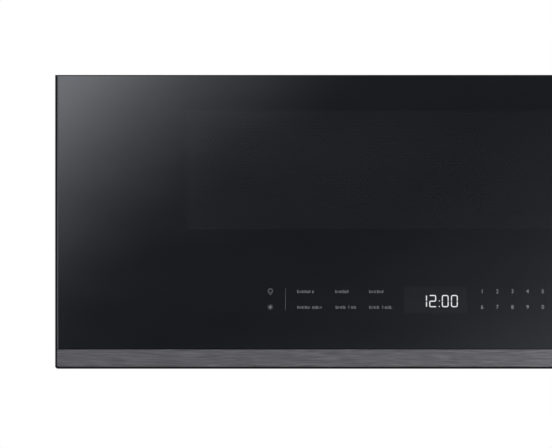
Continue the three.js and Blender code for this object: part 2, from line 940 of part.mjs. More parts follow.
/** The touch circuit board behind the glass. */
function touchBoard() {
  const y0 = glassBack + clearance;
  return cut(
    block([-boardWidth / 2, y0, boardBottom], [boardWidth / 2, y0 + boardThickness, boardBottom + boardHeight]),
    displayBlock(y0 - 1, y0 + boardThickness + 1, clearance),
  );
}

/** A block over the display's outline, widened by a margin. */
function displayBlock(y0, y1, margin = 0) {
  const x = left + displayFromLeft;
  return block(
    [x - displayWidth / 2 - margin, y0, displayCentre - displayHeight / 2 - margin],
    [x + displayWidth / 2 + margin, y1, displayCentre + displayHeight / 2 + margin],
  );
}

const displayModule = () =>
  displayBlock(glassBack + clearance, glassBack + clearance + displayDepth);

const latchFront = doorBack - innerPanelThickness - clearance - latchPlateDepth;
const springSeat = height - bezelWall - clearance;
const latchTop = springSeat - latchSpringHeight - clearance;

/** The sprung latch plate with its two hooks. */
function latchHooks() {
  const plateBack = innerPanelFront - clearance;
  const plate = block(
    [latchX, latchFront, lowerHook - 8],
    [latchX + latchWidth, plateBack, latchTop],
  );
  const tip = frameFront + hookReach;
  const hooks = [upperHook, lowerHook].flatMap((z) => [
    block([latchX, plateBack - 2, z], [latchX + latchWidth, tip, z + hookArm]),
    block([latchX, tip - hookBarbLength, z - hookBarb], [latchX + latchWidth, tip, z + 1]),
  ]);
  return join(plate, ...hooks);
}

/** The bowed leaf that presses the latch plate down. */
function latchSpring() {
  const middle = (latchFront + innerPanelFront) / 2;
  const half = latchPlateDepth / 2 - 1;
  const leaf = 0.8;
  const top = springSeat;
  const bow = 2 * latchSpringHeight; // a quadratic curve reaches half of its control point
  const outline = new THREE.Shape()
    .moveTo(middle - half, top)
    .quadraticCurveTo(middle, top - bow, middle + half, top)
    .lineTo(middle + half - leaf, top)
    .quadraticCurveTo(middle, top - bow + 2 * leaf, middle - half + leaf, top)
    .closePath();
  return extrudeAlongX(outline, latchX + 0.5, latchX + latchWidth - 0.5);
}

/** A steel hinge: a leaf under the door's end, and a flange inside the case. The upper one. */
function hingeBracket() {
  const top = height - hingeDrop + hingeLeaf;
  const x0 = hingeX - hingeArmWidth / 2 + 4;
  const x1 = hingeX + hingeArmWidth - 6;
  const arm = block([x0, hingeY, top - hingeLeaf], [x1, frameBack + 3, top]);
  const eye = bar(hingeX - x0, hingeLeaf, [hingeX, hingeY, top - hingeLeaf], "z", 28);
  const flange = block(
    [x0, frameBack + clearance, top - hingeFlangeHeight],
    [x1, frameBack + clearance + 2, top],
  );
  const hole = bar(pinRadius + clearance, 3 * hingeLeaf, [hingeX, hingeY, top - 2 * hingeLeaf], "z", 24);
  return cut(join(arm, eye, flange), hole);
}

/** The upper hinge's headed pin. */
function hingePin() {
  const leafTop = height - hingeDrop + hingeLeaf + clearance;
  return join(
    bar(pinHeadRadius, pinHead, [hingeX, hingeY, leafTop], "z", 24),
    bar(pinRadius, pinLength, [hingeX, hingeY, leafTop - pinLength + 0.5], "z", 24),
  );
}

// ---------------------------------------------------------------- latch body and its switches

const bodyBackDepth = 46;

/** The plastic body behind the front frame that the hooks catch in and the switches sit in. */
function latchBody() {
  const y0 = frameBack + clearance;
  const y1 = y0 + bodyBackDepth;
  const x0 = latchX + latchWidth + 6;
  const web = block([x0, y0, lowerHook - 22], [x0 + 3, y1, upperHook + 26]);
  const catches = [upperHook, lowerHook].flatMap((z) => [
    block([latchX - 4, y0, z - hookBarb - 6], [x0 + 1, y0 + 9, z - hookBarb - 0.4]),
    block([latchX - 4, y0, z - hookBarb - 9], [x0 + 1, y1, z - hookBarb - 6]),
  ]);
  return join(web, ...catches);
}

const switchLength = 18;

/** An interlock switch behind a hook's tip. */
function interlockSwitch(z) {
  const y0 = frameFront + hookReach + 3;
  const base = z - hookBarb - 6 + clearance;
  return cut(
    block([latchX - 2, y0, base], [latchX + latchWidth + 2, y0 + switchLength, z + hookArm + 3]),
    block(
      [latchX + latchWidth / 2 - 1.5 - clearance, y0 - 1, z + 2 - clearance],
      [latchX + latchWidth / 2 + 1.5 + clearance, y0 + 6, z + 5 + clearance],
    ),
  );
}

/** The button of an interlock switch, pressed by the hook's tip. */
const switchPlunger = (z) =>
  block(
    [latchX + latchWidth / 2 - 1.5, frameFront + hookReach + clearance, z + 2],
    [latchX + latchWidth / 2 + 1.5, frameFront + hookReach + 7, z + 5],
  );

// ---------------------------------------------------------------- component bay

/** The raised floor under the heavy components, on legs that stand on the base pan. */
function bayTray() {
  const x0 = bayLeft + clearance;
  const x1 = bayRight - clearance;
  const y0 = frameBack + clearance + bodyBackDepth + 8;
  const y1 = rearPanelFront - 2 * clearance - sheet;
  const z = bayFloorHeight;
  const foot = sheet + clearance;
  const [, , filterFront, filterBack] = filterOpening(1);
  const legs = [
    [filterFront - 40, filterFront - 10],
    [filterBack + 10, y1],
  ].map(([from, to]) => block([x0, from, foot], [x0 + sheet, to, z + sheet]));
  return join(
    block([x0, y0, z], [x1, y1, z + sheet]),
    block([x1 - sheet - 3, y0, foot], [x1 - 3, y1, z + sheet]),
    ...legs,
  );
}

const bayTrayTop = bayFloorHeight + sheet + clearance;
const coreX = bayLeft + 24;
const coreY = guideY + guideLength / 2 - coreDepth / 2;
const coreLeg = 18;

/** The high-voltage transformer's laminated core, on the bay's floor. */
function transformerCore() {
  const outer = block([coreX, coreY, bayTrayTop], [coreX + coreWidth, coreY + coreDepth, bayTrayTop + coreHeight]);
  const windowWidth = (coreWidth - 3.4 * coreLeg) / 2;
  const windows = [coreX + 0.7 * coreLeg, coreX + coreWidth - 0.7 * coreLeg - windowWidth].map((x) =>
    block([x, coreY - 1, bayTrayTop + coreLeg], [x + windowWidth, coreY + coreDepth + 1, bayTrayTop + coreHeight - coreLeg]),
  );
  const foot = block([coreX - 8, coreY, bayTrayTop], [coreX + coreWidth + 8, coreY + coreDepth, bayTrayTop + 2]);
  return join(cut(outer, ...windows), foot);
}

/** The winding round the core's middle leg. */
function transformerWinding() {
  const windowWidth = (coreWidth - 3.4 * coreLeg) / 2;
  const x0 = coreX + 0.7 * coreLeg + clearance;
  const x1 = coreX + coreWidth - 0.7 * coreLeg - clearance;
  const z0 = bayTrayTop + coreLeg + clearance;
  const z1 = bayTrayTop + coreHeight - coreLeg - clearance;
  const legX0 = coreX + 0.7 * coreLeg + windowWidth - clearance;
  const legX1 = coreX + coreWidth - 0.7 * coreLeg - windowWidth + clearance;
  const swell = windowWidth - clearance;
  return cut(
    block([x0, coreY - swell, z0], [x1, coreY + coreDepth + swell, z1]),
    block([legX0, coreY - clearance, z0 - 1], [legX1, coreY + coreDepth + clearance, z1 + 1]),
  );
}

/** The oval high-voltage capacitor and its strap, behind the transformer. */
function capacitor() {
  const half = 15;
  const y = coreY + coreDepth + 34;
  const z = bayTrayTop + half + 2;
  const x = coreX;
  return join(
    bar(half, capacitorLength, [x, y, z], "x", 24),
    bar(half, capacitorLength, [x, y + capacitorSpread, z], "x", 24),
    block([x, y, z - half], [x + capacitorLength, y + capacitorSpread, z + half]),
    block(
      [x + strapFromEnd, y - half - 2, bayTrayTop],
      [x + strapFromEnd + strapWidth, y + capacitorSpread + half + 2, z + 2],
    ),
    bar(3, 10, [x + capacitorLength - 1, y, z], "x", 12),
    bar(3, 10, [x + capacitorLength - 1, y + capacitorSpread, z], "x", 12),
  );
}

/** The relay and supply board, on edge against the case's right side. */
function powerBoard() {
  const x = bayRight - clearance - 8;
  const y0 = frameBack + clearance + bodyBackDepth + 14;
  const z0 = bayTrayTop + 6;
  const y1 = y0 + supplyBoardDepth;
  const z1 = z0 + supplyBoardHeight;
  const board = block([x, y0, z0], [x + boardThickness, y1, z1]);
  const standoffs = [
    [y0 + standoffInset, z0 + standoffInset],
    [y1 - standoffInset, z0 + standoffInset],
    [y0 + standoffInset, z1 - standoffInset],
    [y1 - standoffInset, z1 - standoffInset],
  ].map(([y, z]) => bar(2.5, standoffLength, [x + 1, y, z], "x", 10));
  const relayBack = y0 + relayInset + relayDepth;
  const relays = [relayStart, relayStart + relayPitch].map((up) =>
    block([x - relayReach, y0 + relayInset, z0 + up], [x + 1, relayBack, z0 + up + relayHeight]),
  );
  const inductorFoot = z0 + relayStart + relayPitch + relayHeight + 4;
  const inductor = block(
    [x - inductorReach, relayBack + 4, inductorFoot],
    [x + 1, relayBack + 4 + inductorDepth, inductorFoot + inductorHeight],
  );
  const can = bar(6, relayDepth, [x - relayReach - 2, relayBack + 16, z0 + relayStart + 10], "x", 14);
  return join(board, ...standoffs, ...relays, inductor, can);
}

const fanY = cavityBack + 10;
const fanZ = bayTrayTop + fanRadius + fanAboveTray;
const fanX = (bayLeft + bayRight) / 2;

/** The plate and ring round the cooling fan, across the bay. */
function fanShroud() {
  const half = fanRadius + 7;
  const plate = block([fanX - half, fanY, bayTrayTop], [fanX + half, fanY + 1.6, fanZ + half]);
  const tunnel = bar(fanRadius + 4, fanTunnel, [fanX, fanY, fanZ], "y", 40);
  const throat = bar(fanRadius + 2, fanTunnel + 6, [fanX, fanY - 2, fanZ], "y", 40);
  const spiderBack = fanY + fanTunnel - 1;
  const spider = [0, 60, 120].map((angle) =>
    block([-fanRadius - 3, spiderBack - fanSpider, -2], [fanRadius + 3, spiderBack, 2])
      .rotate([0, angle, 0])
      .translate([fanX, 0, fanZ]),
  );
  const motorHole = bar(3 + clearance, 40, [fanX, fanY, fanZ], "y", 16);
  return cut(join(cut(join(plate, tunnel), throat), ...spider), motorHole);
}

/** The fan's shaded-pole motor, on the shroud's spider. */
function fanMotor() {
  const y0 = fanY + fanTunnel - 1 + clearance;
  const body = join(
    block([fanX - 24, y0, fanZ - 20], [fanX + 24, y0 + fanMotorLength - 8, fanZ + 30]),
    bar(17, fanMotorLength, [fanX, y0, fanZ], "y", 24),
  );
  return body.subtract(bar(3 + clearance, 24, [fanX, y0 - 1, fanZ], "y", 16));
}

/** The cooling fan's blades and shaft. */
function fanRotor() {
  const hub = bar(14, 12, [fanX, fanY + 4, fanZ], "y", 24);
  const shaft = bar(3, 30, [fanX, fanY + 8, fanZ], "y", 16);
  const blades = Array.from({ length: fanBlades }, (_, index) =>
    block([-9, 0, 0], [9, 1.6, fanRadius - 8])
      .translate([0, -0.8, 0])
      .rotate([0, 0, 28])
      .translate([0, 0, 8])
      .rotate([0, (index * 360) / fanBlades, 0])
      .translate([fanX, fanY + 10, fanZ]),
  );
  return join(hub, shaft, ...blades);
}

// ---------------------------------------------------------------- extractor blower

const blowerY = (cavityBack + thinSheet + rearPanelFront) / 2;
const scrollOuter = wheelRadius + scrollGap + scrollWall;
const blowerZ = height - sheet - clearance - scrollOuter - 3;
const blowerX = cavityCentreX;
const scrollStart = blowerMotorLength / 2 + scrollFromMotor;

/** A scroll's outline in the y-z plane: a round that opens out to a throat at the front and top. */
function scrollOutline(radius, throatTop, throatFront) {
  const shape = new THREE.Shape();
  shape.moveTo(blowerY - throatFront, blowerZ + throatTop);
  shape.lineTo(blowerY - throatFront, blowerZ + throatTop - 11);
  shape.lineTo(blowerY - radius * 0.9, blowerZ + radius * 0.436);
  shape.absarc(blowerY, blowerZ, radius, Math.PI - 0.451, 2 * Math.PI, false);
  shape.absarc(blowerY, blowerZ, radius, 0, Math.PI / 2, false);
  shape.lineTo(blowerY, blowerZ + throatTop);
  shape.closePath();
  return shape;
}

/** One blower scroll, with an inlet on each side and its throat over the cavity. */
function scroll(side) {
  const from = blowerX + side * scrollStart;
  const to = from + side * (wheelWidth + 10);
  const [x0, x1] = [Math.min(from, to), Math.max(from, to)];
  const front = blowerY - (cavityBack + thinSheet + clearance);
  const throatTop = height - sheet - clearance - blowerZ;
  const outer = extrudeAlongX(scrollOutline(scrollOuter, throatTop, front), x0, x1);
  const inner = extrudeAlongX(
    scrollOutline(scrollOuter - scrollWall, throatTop - scrollWall, front + 4),
    x0 + scrollWall,
    x1 - scrollWall,
  );
  const inlets = bar(wheelRadius - 8, x1 - x0 + 4, [x0 - 2, blowerY, blowerZ], "x", 32);
  const foot = block(
    [x0, rearPanelFront - clearance - 2, blowerZ - 14],
    [x1, rearPanelFront - clearance, blowerZ + 14],
  );
  const strut = block(
    [x0, blowerY + scrollOuter - 3, blowerZ - 5],
    [x1, rearPanelFront - clearance - 1, blowerZ + 5],
  );
  return cut(join(outer, foot, strut), inner, inlets);
}

/** A squirrel-cage wheel, about the shaft's axis. */
function blowerWheel(side) {
  const x0 = side * (scrollStart + 5 + wheelWidth / 2) - wheelWidth / 2;
  const hubX = side > 0 ? x0 : x0 + wheelWidth - 2;
  const rings = [x0, x0 + wheelWidth - 2].map((x) =>
    bar(wheelRadius, 2, [x, 0, 0], "x", 32).subtract(bar(wheelRadius - 6, 4, [x - 1, 0, 0], "x", 32)),
  );
  const hub = join(
    bar(wheelRadius - 1, 2, [hubX, 0, 0], "x", 32),
    bar(8, 12, [side > 0 ? hubX : hubX - 10, 0, 0], "x", 20),
  );
  const blades = Array.from({ length: wheelBlades }, (_, index) =>
    block([x0, -0.6, wheelRadius - 5.5], [x0 + wheelWidth, 0.6, wheelRadius - 0.5]).rotate([
      (index * 360) / wheelBlades,
      0,
      0,
    ]),
  );
  return cut(
    join(hub, ...rings, ...blades),
    bar(shaftRadius + clearance, wheelWidth + 20, [x0 - 10, 0, 0], "x", 20),
  ).translate([blowerX, blowerY, blowerZ]);
}

/** The shaft through the motor and both wheels. */
function blowerShaft() {
  const half = scrollStart + shaftOverhang;
  return bar(shaftRadius, 2 * half, [blowerX - half, blowerY, blowerZ], "x", 20);
}

/** The blower's motor, with a bracket to the rear panel. */
function blowerMotor() {
  const half = blowerMotorLength / 2;
  const can = bar(blowerMotorRadius, blowerMotorLength, [blowerX - half, blowerY, blowerZ], "x", 36);
  const bracket = block(
    [blowerX - 12, blowerY, blowerZ - 16],
    [blowerX + 12, rearPanelFront - clearance, blowerZ + 16],
  );
  return cut(
    join(can, bracket),
    bar(shaftRadius + clearance, blowerMotorLength + 4, [blowerX - half - 2, blowerY, blowerZ], "x", 20),
  );
}

// ---------------------------------------------------------------- grease filters and lamps

const filterBottom = sheet / 2;

/** The aluminium frame of a grease filter, with a pull tab, about its own centre. */
function filterRim() {
  const [hx, hy] = [filterWidth / 2 - clearance, filterDepth / 2 - clearance];
  const rim = cut(
    block([-hx, -hy, 0], [hx, hy, filterThickness]),
    block([-hx + filterFrame, -hy + filterFrame, -1], [hx - filterFrame, hy - filterFrame, filterThickness + 1]),
    block([-hx + 1.2, -hy + 1.2, 1.2], [hx - 1.2, hy - 1.2, filterThickness - 1.2]),
  );
  const tab = cut(
    block([-16, -hy + filterFrame - 2, 0], [16, -hy + filterFrame + 12, 1]),
    block([-11, -hy + filterFrame + 2, -1], [11, -hy + filterFrame + 8, 2]),
  );
  return join(rim, tab);
}

/** The pleated aluminium mesh inside the frame. */
const filterMesh = () =>
  block(
    [-filterWidth / 2 + 1.2 + 2 * clearance, -filterDepth / 2 + 1.2 + 2 * clearance, 1.2 + clearance],
    [filterWidth / 2 - 1.2 - 2 * clearance, filterDepth / 2 - 1.2 - 2 * clearance, filterThickness - 1.2 - clearance],
  );

/** A cooktop lamp's lens, with a lip inside the pan. */
const lampLens = () =>
  join(
    block([-lensWidth / 2, -lensDepth / 2, 0], [lensWidth / 2, lensDepth / 2, sheet + clearance + 0.5]),
    block(
      [-lensWidth / 2 - 4, -lensDepth / 2 - 4, sheet + clearance],
      [lensWidth / 2 + 4, lensDepth / 2 + 4, sheet + clearance + 1.6],
    ),
  );

/** A lamp's circuit board and housing, above its lens. */
function lampBoard() {
  const z0 = sheet + 2 * clearance + 1.6;
  const [hx, hy] = [lensWidth / 2 + 4, lensDepth / 2 + 4];
  return cut(
    block([-hx, -hy, z0], [hx, hy, z0 + lampHousingHeight]),
    block(
      [-hx + lampHousingWall, -hy + lampHousingWall, z0 - 1],
      [hx - lampHousingWall, hy - lampHousingWall, z0 + lampHousingHeight - lampHousingWall - 1],
    ),
  );
}

// ---------------------------------------------------------------- assembly

const microwave = new THREE.Group();

function addAll(pieces) {
  for (const [name, material, made, position] of pieces) {
    microwave.add(piece(name, material, made, position));
  }
}

addAll([
  ["wall_plate", materials.zincSteel, wallPlate()],
  ["rear_panel", materials.zincSteel, rearPanel()],
  ["outer_wrap", materials.paintedSteel, outerWrap()],
  ["base_pan", materials.paintedSteel, basePan()],
  ["front_frame", materials.paintedSteel, frontFrame()],
  ["vent_grille", materials.darkPlastic, ventGrille()],
  ["charcoal_filter", materials.charcoal, charcoalFilter()],
  ["cord_bushing", materials.rubber, cordBushing()],
  ["cavity", materials.enamel, cavity()],
  ["waveguide", materials.zincSteel, waveguide()],
  ["waveguide_cover", materials.mica, waveguideCover()],
  ["magnetron", materials.aluminium, magnetron()],
  ["bay_tray", materials.zincSteel, bayTray()],
  ["transformer_core", materials.coreSteel, transformerCore()],
  ["transformer_winding", materials.copper, transformerWinding()],
  ["capacitor", materials.aluminium, capacitor()],
  ["power_board", materials.circuitBoard, powerBoard()],
  ["cooling_fan_shroud", materials.zincSteel, fanShroud()],
  ["cooling_fan_motor", materials.coreSteel, fanMotor()],
  ["cooling_fan", materials.whitePlastic, fanRotor()],
  ["latch_body", materials.whitePlastic, latchBody()],
  ["upper_switch", materials.darkPlastic, interlockSwitch(upperHook)],
  ["lower_switch", materials.darkPlastic, interlockSwitch(lowerHook)],
  ["upper_switch_button", materials.whitePlastic, switchPlunger(upperHook)],
  ["lower_switch_button", materials.whitePlastic, switchPlunger(lowerHook)],
  ["blower_scroll_left", materials.whitePlastic, scroll(-1)],
  ["blower_scroll_right", materials.whitePlastic, scroll(1)],
  ["blower_motor", materials.coreSteel, blowerMotor()],
  ["blower_shaft", materials.stainless, blowerShaft()],
  ["blower_wheel_left", materials.darkPlastic, blowerWheel(-1)],
  ["blower_wheel_right", materials.darkPlastic, blowerWheel(1)],
  ["hinge_upper", materials.zincSteel, hingeBracket()],
  ["hinge_lower", materials.zincSteel, flip(hingeBracket())],
  ["hinge_pin_upper", materials.stainless, hingePin()],
  ["hinge_pin_lower", materials.stainless, flip(hingePin())],
  ["door_bezel", materials.darkPlastic, doorBezel()],
  ["door_glass", materials.blackGlass, doorGlass()],
  ["trim_strip", materials.darkSteel, trimStrip()],
  ["choke_panel", materials.paintedSteel, chokePanel()],
  ["inner_window", materials.clearGlass, innerWindow()],
  ["door_inner_panel", materials.panelPlastic, doorInnerPanel()],
  ["touch_board", materials.circuitBoard, touchBoard()],
  ["display_module", materials.darkPlastic, displayModule()],
  ["latch_hooks", materials.whitePlastic, latchHooks()],
  ["latch_spring", materials.stainless, latchSpring()],
]);

for (const [side, word] of [
  [-1, "left"],
  [1, "right"],
]) {
  const filterAt = [side * filterFromCentre, -filterFromWall, filterBottom];
  const lampAt = [side * lensFromCentre, frameFront + lensFromFront, 0];
  addAll([
    [`filter_frame_${word}`, materials.aluminium, filterRim(), filterAt],
    [`filter_mesh_${word}`, materials.aluminium, filterMesh(), filterAt],
    [`lamp_lens_${word}`, materials.lensPlastic, lampLens(), lampAt],
    [`lamp_board_${word}`, materials.whitePlastic, lampBoard(), lampAt],
  ]);
}

microwave.add(turntable());
microwave.position.z = -height / 2;

export default microwave;
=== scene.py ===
"""A low-profile over-the-range microwave oven, dressed for rendering over its solids.

Metres, +Z up. The oven faces -Y, its wall plate stands at y = 0, and z = 0 is the middle of its height.
Sizes are written in millimetres, with heights from the underside up, and turned to metres where a mesh
is made.
"""

import json
import math

import bmesh
import bpy
from mathutils import Matrix, Vector


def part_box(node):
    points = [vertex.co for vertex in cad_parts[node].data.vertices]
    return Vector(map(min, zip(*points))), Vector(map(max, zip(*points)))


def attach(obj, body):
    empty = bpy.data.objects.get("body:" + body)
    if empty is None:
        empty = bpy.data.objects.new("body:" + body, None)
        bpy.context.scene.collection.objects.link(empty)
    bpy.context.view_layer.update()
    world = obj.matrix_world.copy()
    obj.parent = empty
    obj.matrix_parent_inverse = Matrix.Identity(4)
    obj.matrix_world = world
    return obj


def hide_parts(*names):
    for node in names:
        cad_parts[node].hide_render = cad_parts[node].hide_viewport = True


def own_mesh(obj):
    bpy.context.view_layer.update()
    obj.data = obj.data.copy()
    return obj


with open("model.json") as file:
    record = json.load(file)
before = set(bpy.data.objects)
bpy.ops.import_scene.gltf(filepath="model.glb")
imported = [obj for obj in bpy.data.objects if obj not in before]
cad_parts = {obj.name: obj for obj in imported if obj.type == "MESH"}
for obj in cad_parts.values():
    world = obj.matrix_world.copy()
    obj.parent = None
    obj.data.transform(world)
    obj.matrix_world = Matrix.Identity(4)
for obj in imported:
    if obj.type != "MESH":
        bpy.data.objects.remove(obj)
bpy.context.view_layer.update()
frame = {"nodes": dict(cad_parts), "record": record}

MM = 0.001
HALF_WIDTH = 379.5
HALF_HEIGHT = 131.0  # of the case, so that a height above the underside becomes a z
UP, DOWN = (0, 0, 1), (0, 0, -1)
BACK = (0, 1, 0)
LEFT, RIGHT = (-1, 0, 0), (1, 0, 0)
body_of = {
    node: body for body, nodes in frame["record"]["behaviour"]["bodies"].items() for node in nodes
}
slot_of = {part["node"]: part["material_slot"] for part in frame["record"]["subparts"]}


# ---------------------------------------------------------------- nodes and materials


def linear(code):
    """A colour written as sRGB hex, as the linear values that nodes take."""
    values = [int(code[start : start + 2], 16) / 255 for start in (1, 3, 5)]
    return tuple(v / 12.92 if v <= 0.04045 else ((v + 0.055) / 1.055) ** 2.4 for v in values) + (1.0,)


def feed(tree, node, inputs):
    """Gives a node's inputs plain values, or links them from sockets or from nodes' first outputs."""
    for name, value in inputs.items():
        if isinstance(value, bpy.types.Node):
            value = value.outputs[0]
        if isinstance(value, bpy.types.NodeSocket):
            tree.links.new(value, node.inputs[name])
        else:
            node.inputs[name].default_value = value


def add(tree, kind, inputs=None, **settings):
    """Adds a node to a tree, with its settings, and its inputs as values or links."""
    node = tree.nodes.new(kind)
    for name, value in settings.items():
        setattr(node, name, value)
    feed(tree, node, inputs or {})
    return node


def bare_tree(owner):
    """The emptied node tree of a material or a world."""
    owner.use_nodes = True
    owner.node_tree.nodes.clear()
    return owner.node_tree


def grains(width_mm, stretch=(1, 1, 1), detail=3.0):
    """A noise with grains so many millimetres wide, and longer along an axis by stretch."""
    scale = tuple(1 / (width_mm * along) for along in stretch)
    return "ShaderNodeTexNoise", scale, {"Scale": 1.0, "Detail": detail, "Roughness": 0.55}, {}


def cells(per_mm):
    """A pattern of irregular cells, so many to a millimetre."""
    return "ShaderNodeTexVoronoi", None, {"Scale": per_mm}, {}


def surface(name, patterns, layers, roughness, relief=None, others=None, seat="Base Color"):
    """A material with patterns that lie on the piece in millimetres.

    Each pattern is a texture's kind, its stretch, its inputs and its settings. A reading of one is its
    name and output, such as "grains.Red", or a tuple of that with the low and high that it is spread
    over, and the two values that become them where those aren't 0.3 and 0.7. Layers are a colour, and
    then a reading and the colour that it lays over the first. Relief is a reading and a depth in mm.
    """
    finish = bpy.data.materials.new(name)
    tree = bare_tree(finish)
    shader = add(tree, "ShaderNodeBsdfPrincipled", others)
    add(tree, "ShaderNodeOutputMaterial", {"Surface": shader})
    on_piece = add(tree, "ShaderNodeTexCoord").outputs["Object"]
    in_millimetres = add(tree, "ShaderNodeMapping", {"Vector": on_piece, "Scale": (1000, 1000, 1000)})
    made = {}
    for label, (kind, scale, inputs, settings) in patterns.items():
        spread = in_millimetres
        if scale:
            spread = add(tree, "ShaderNodeMapping", {"Vector": in_millimetres, "Scale": scale})
        made[label] = add(tree, kind, {"Vector": spread, **inputs}, **settings)

    def read(reading):
        """The socket that a reading names, spread where it has limits."""
        label, *limits = [reading] if isinstance(reading, str) else reading
        pattern, _, output = label.partition(".")
        if output in ("Red", "Green"):
            colours = made[pattern].outputs["Color"]
            socket = add(tree, "ShaderNodeSeparateColor", {"Color": colours}).outputs[output]
        else:
            socket = made[pattern].outputs[output or "Fac"]
        if not limits:
            return socket
        low, high, start, end = (*limits, 0.3, 0.7)[:4]
        ends = {"From Min": start, "From Max": end, "To Min": low, "To Max": high}
        return add(tree, "ShaderNodeMapRange", {"Value": socket, **ends}).outputs["Result"]

    colour = linear(layers[0]) if layers[0].startswith("#") else read(layers[0])
    for reading, over in zip(layers[1::2], layers[2::2]):
        inputs = {0: read(reading), 6: colour, 7: linear(over)}
        colour = add(tree, "ShaderNodeMix", inputs, data_type="RGBA").outputs[2]
    sheen = read(roughness) if isinstance(roughness, tuple) else roughness
    feed(tree, shader, {seat: colour, "Roughness": sheen})
    if relief:
        height, depth_mm = relief
        bump = {"Height": read(height), "Distance": depth_mm * MM, "Strength": 1.0}
        feed(tree, shader, {"Normal": add(tree, "ShaderNodeBump", bump)})
    return finish


def moulded_plastic(name, dark, light, roughness, grain_mm=0.35, depth_mm=0.008, shine=0.5):
    """Injection-moulded ABS with a fine spark-eroded grain: an even colour with a soft, broken sheen."""
    return surface(
        name,
        {"texture": grains(grain_mm), "cloud": grains(24)},
        [dark, ("cloud", 0, 1), light],
        ("texture", roughness - 0.05, roughness + 0.06),
        ("texture", depth_mm),
        {"IOR": 1.53, "Specular IOR Level": shine},
    )


def galvanised(name, dark, light, crystal_mm):
    """Hot-dip galvanised sheet: zinc crystals, so many millimetres wide, that catch the light differently."""
    return surface(
        name,
        {"crystals": cells(1 / crystal_mm), "haze": grains(2.2)},
        [dark, "crystals.Red", light, ("haze", 0, 0.4), light],
        ("crystals.Green", 0.3, 0.48, 0, 1),
        ("haze", 0.006),
        {"Metallic": 1.0},
    )


def rolled_metal(name, dark, light, roughness, stretch=(40, 1, 1)):
    """Bare sheet or bar as it comes from the mill: faint lines along the rolling direction."""
    return surface(
        name,
        {"lines": grains(0.6, stretch), "cloud": grains(30)},
        [dark, ("lines", 0, 1), light, ("cloud", 0, 0.4), dark],
        ("lines", roughness - 0.05, roughness + 0.07),
        ("lines", 0.008),
        {"Metallic": 1.0},
    )


SMEARS = {"smears": grains(38, (2.2, 1, 1))}
SMEARED = ("smears", 0.045, 0.065)

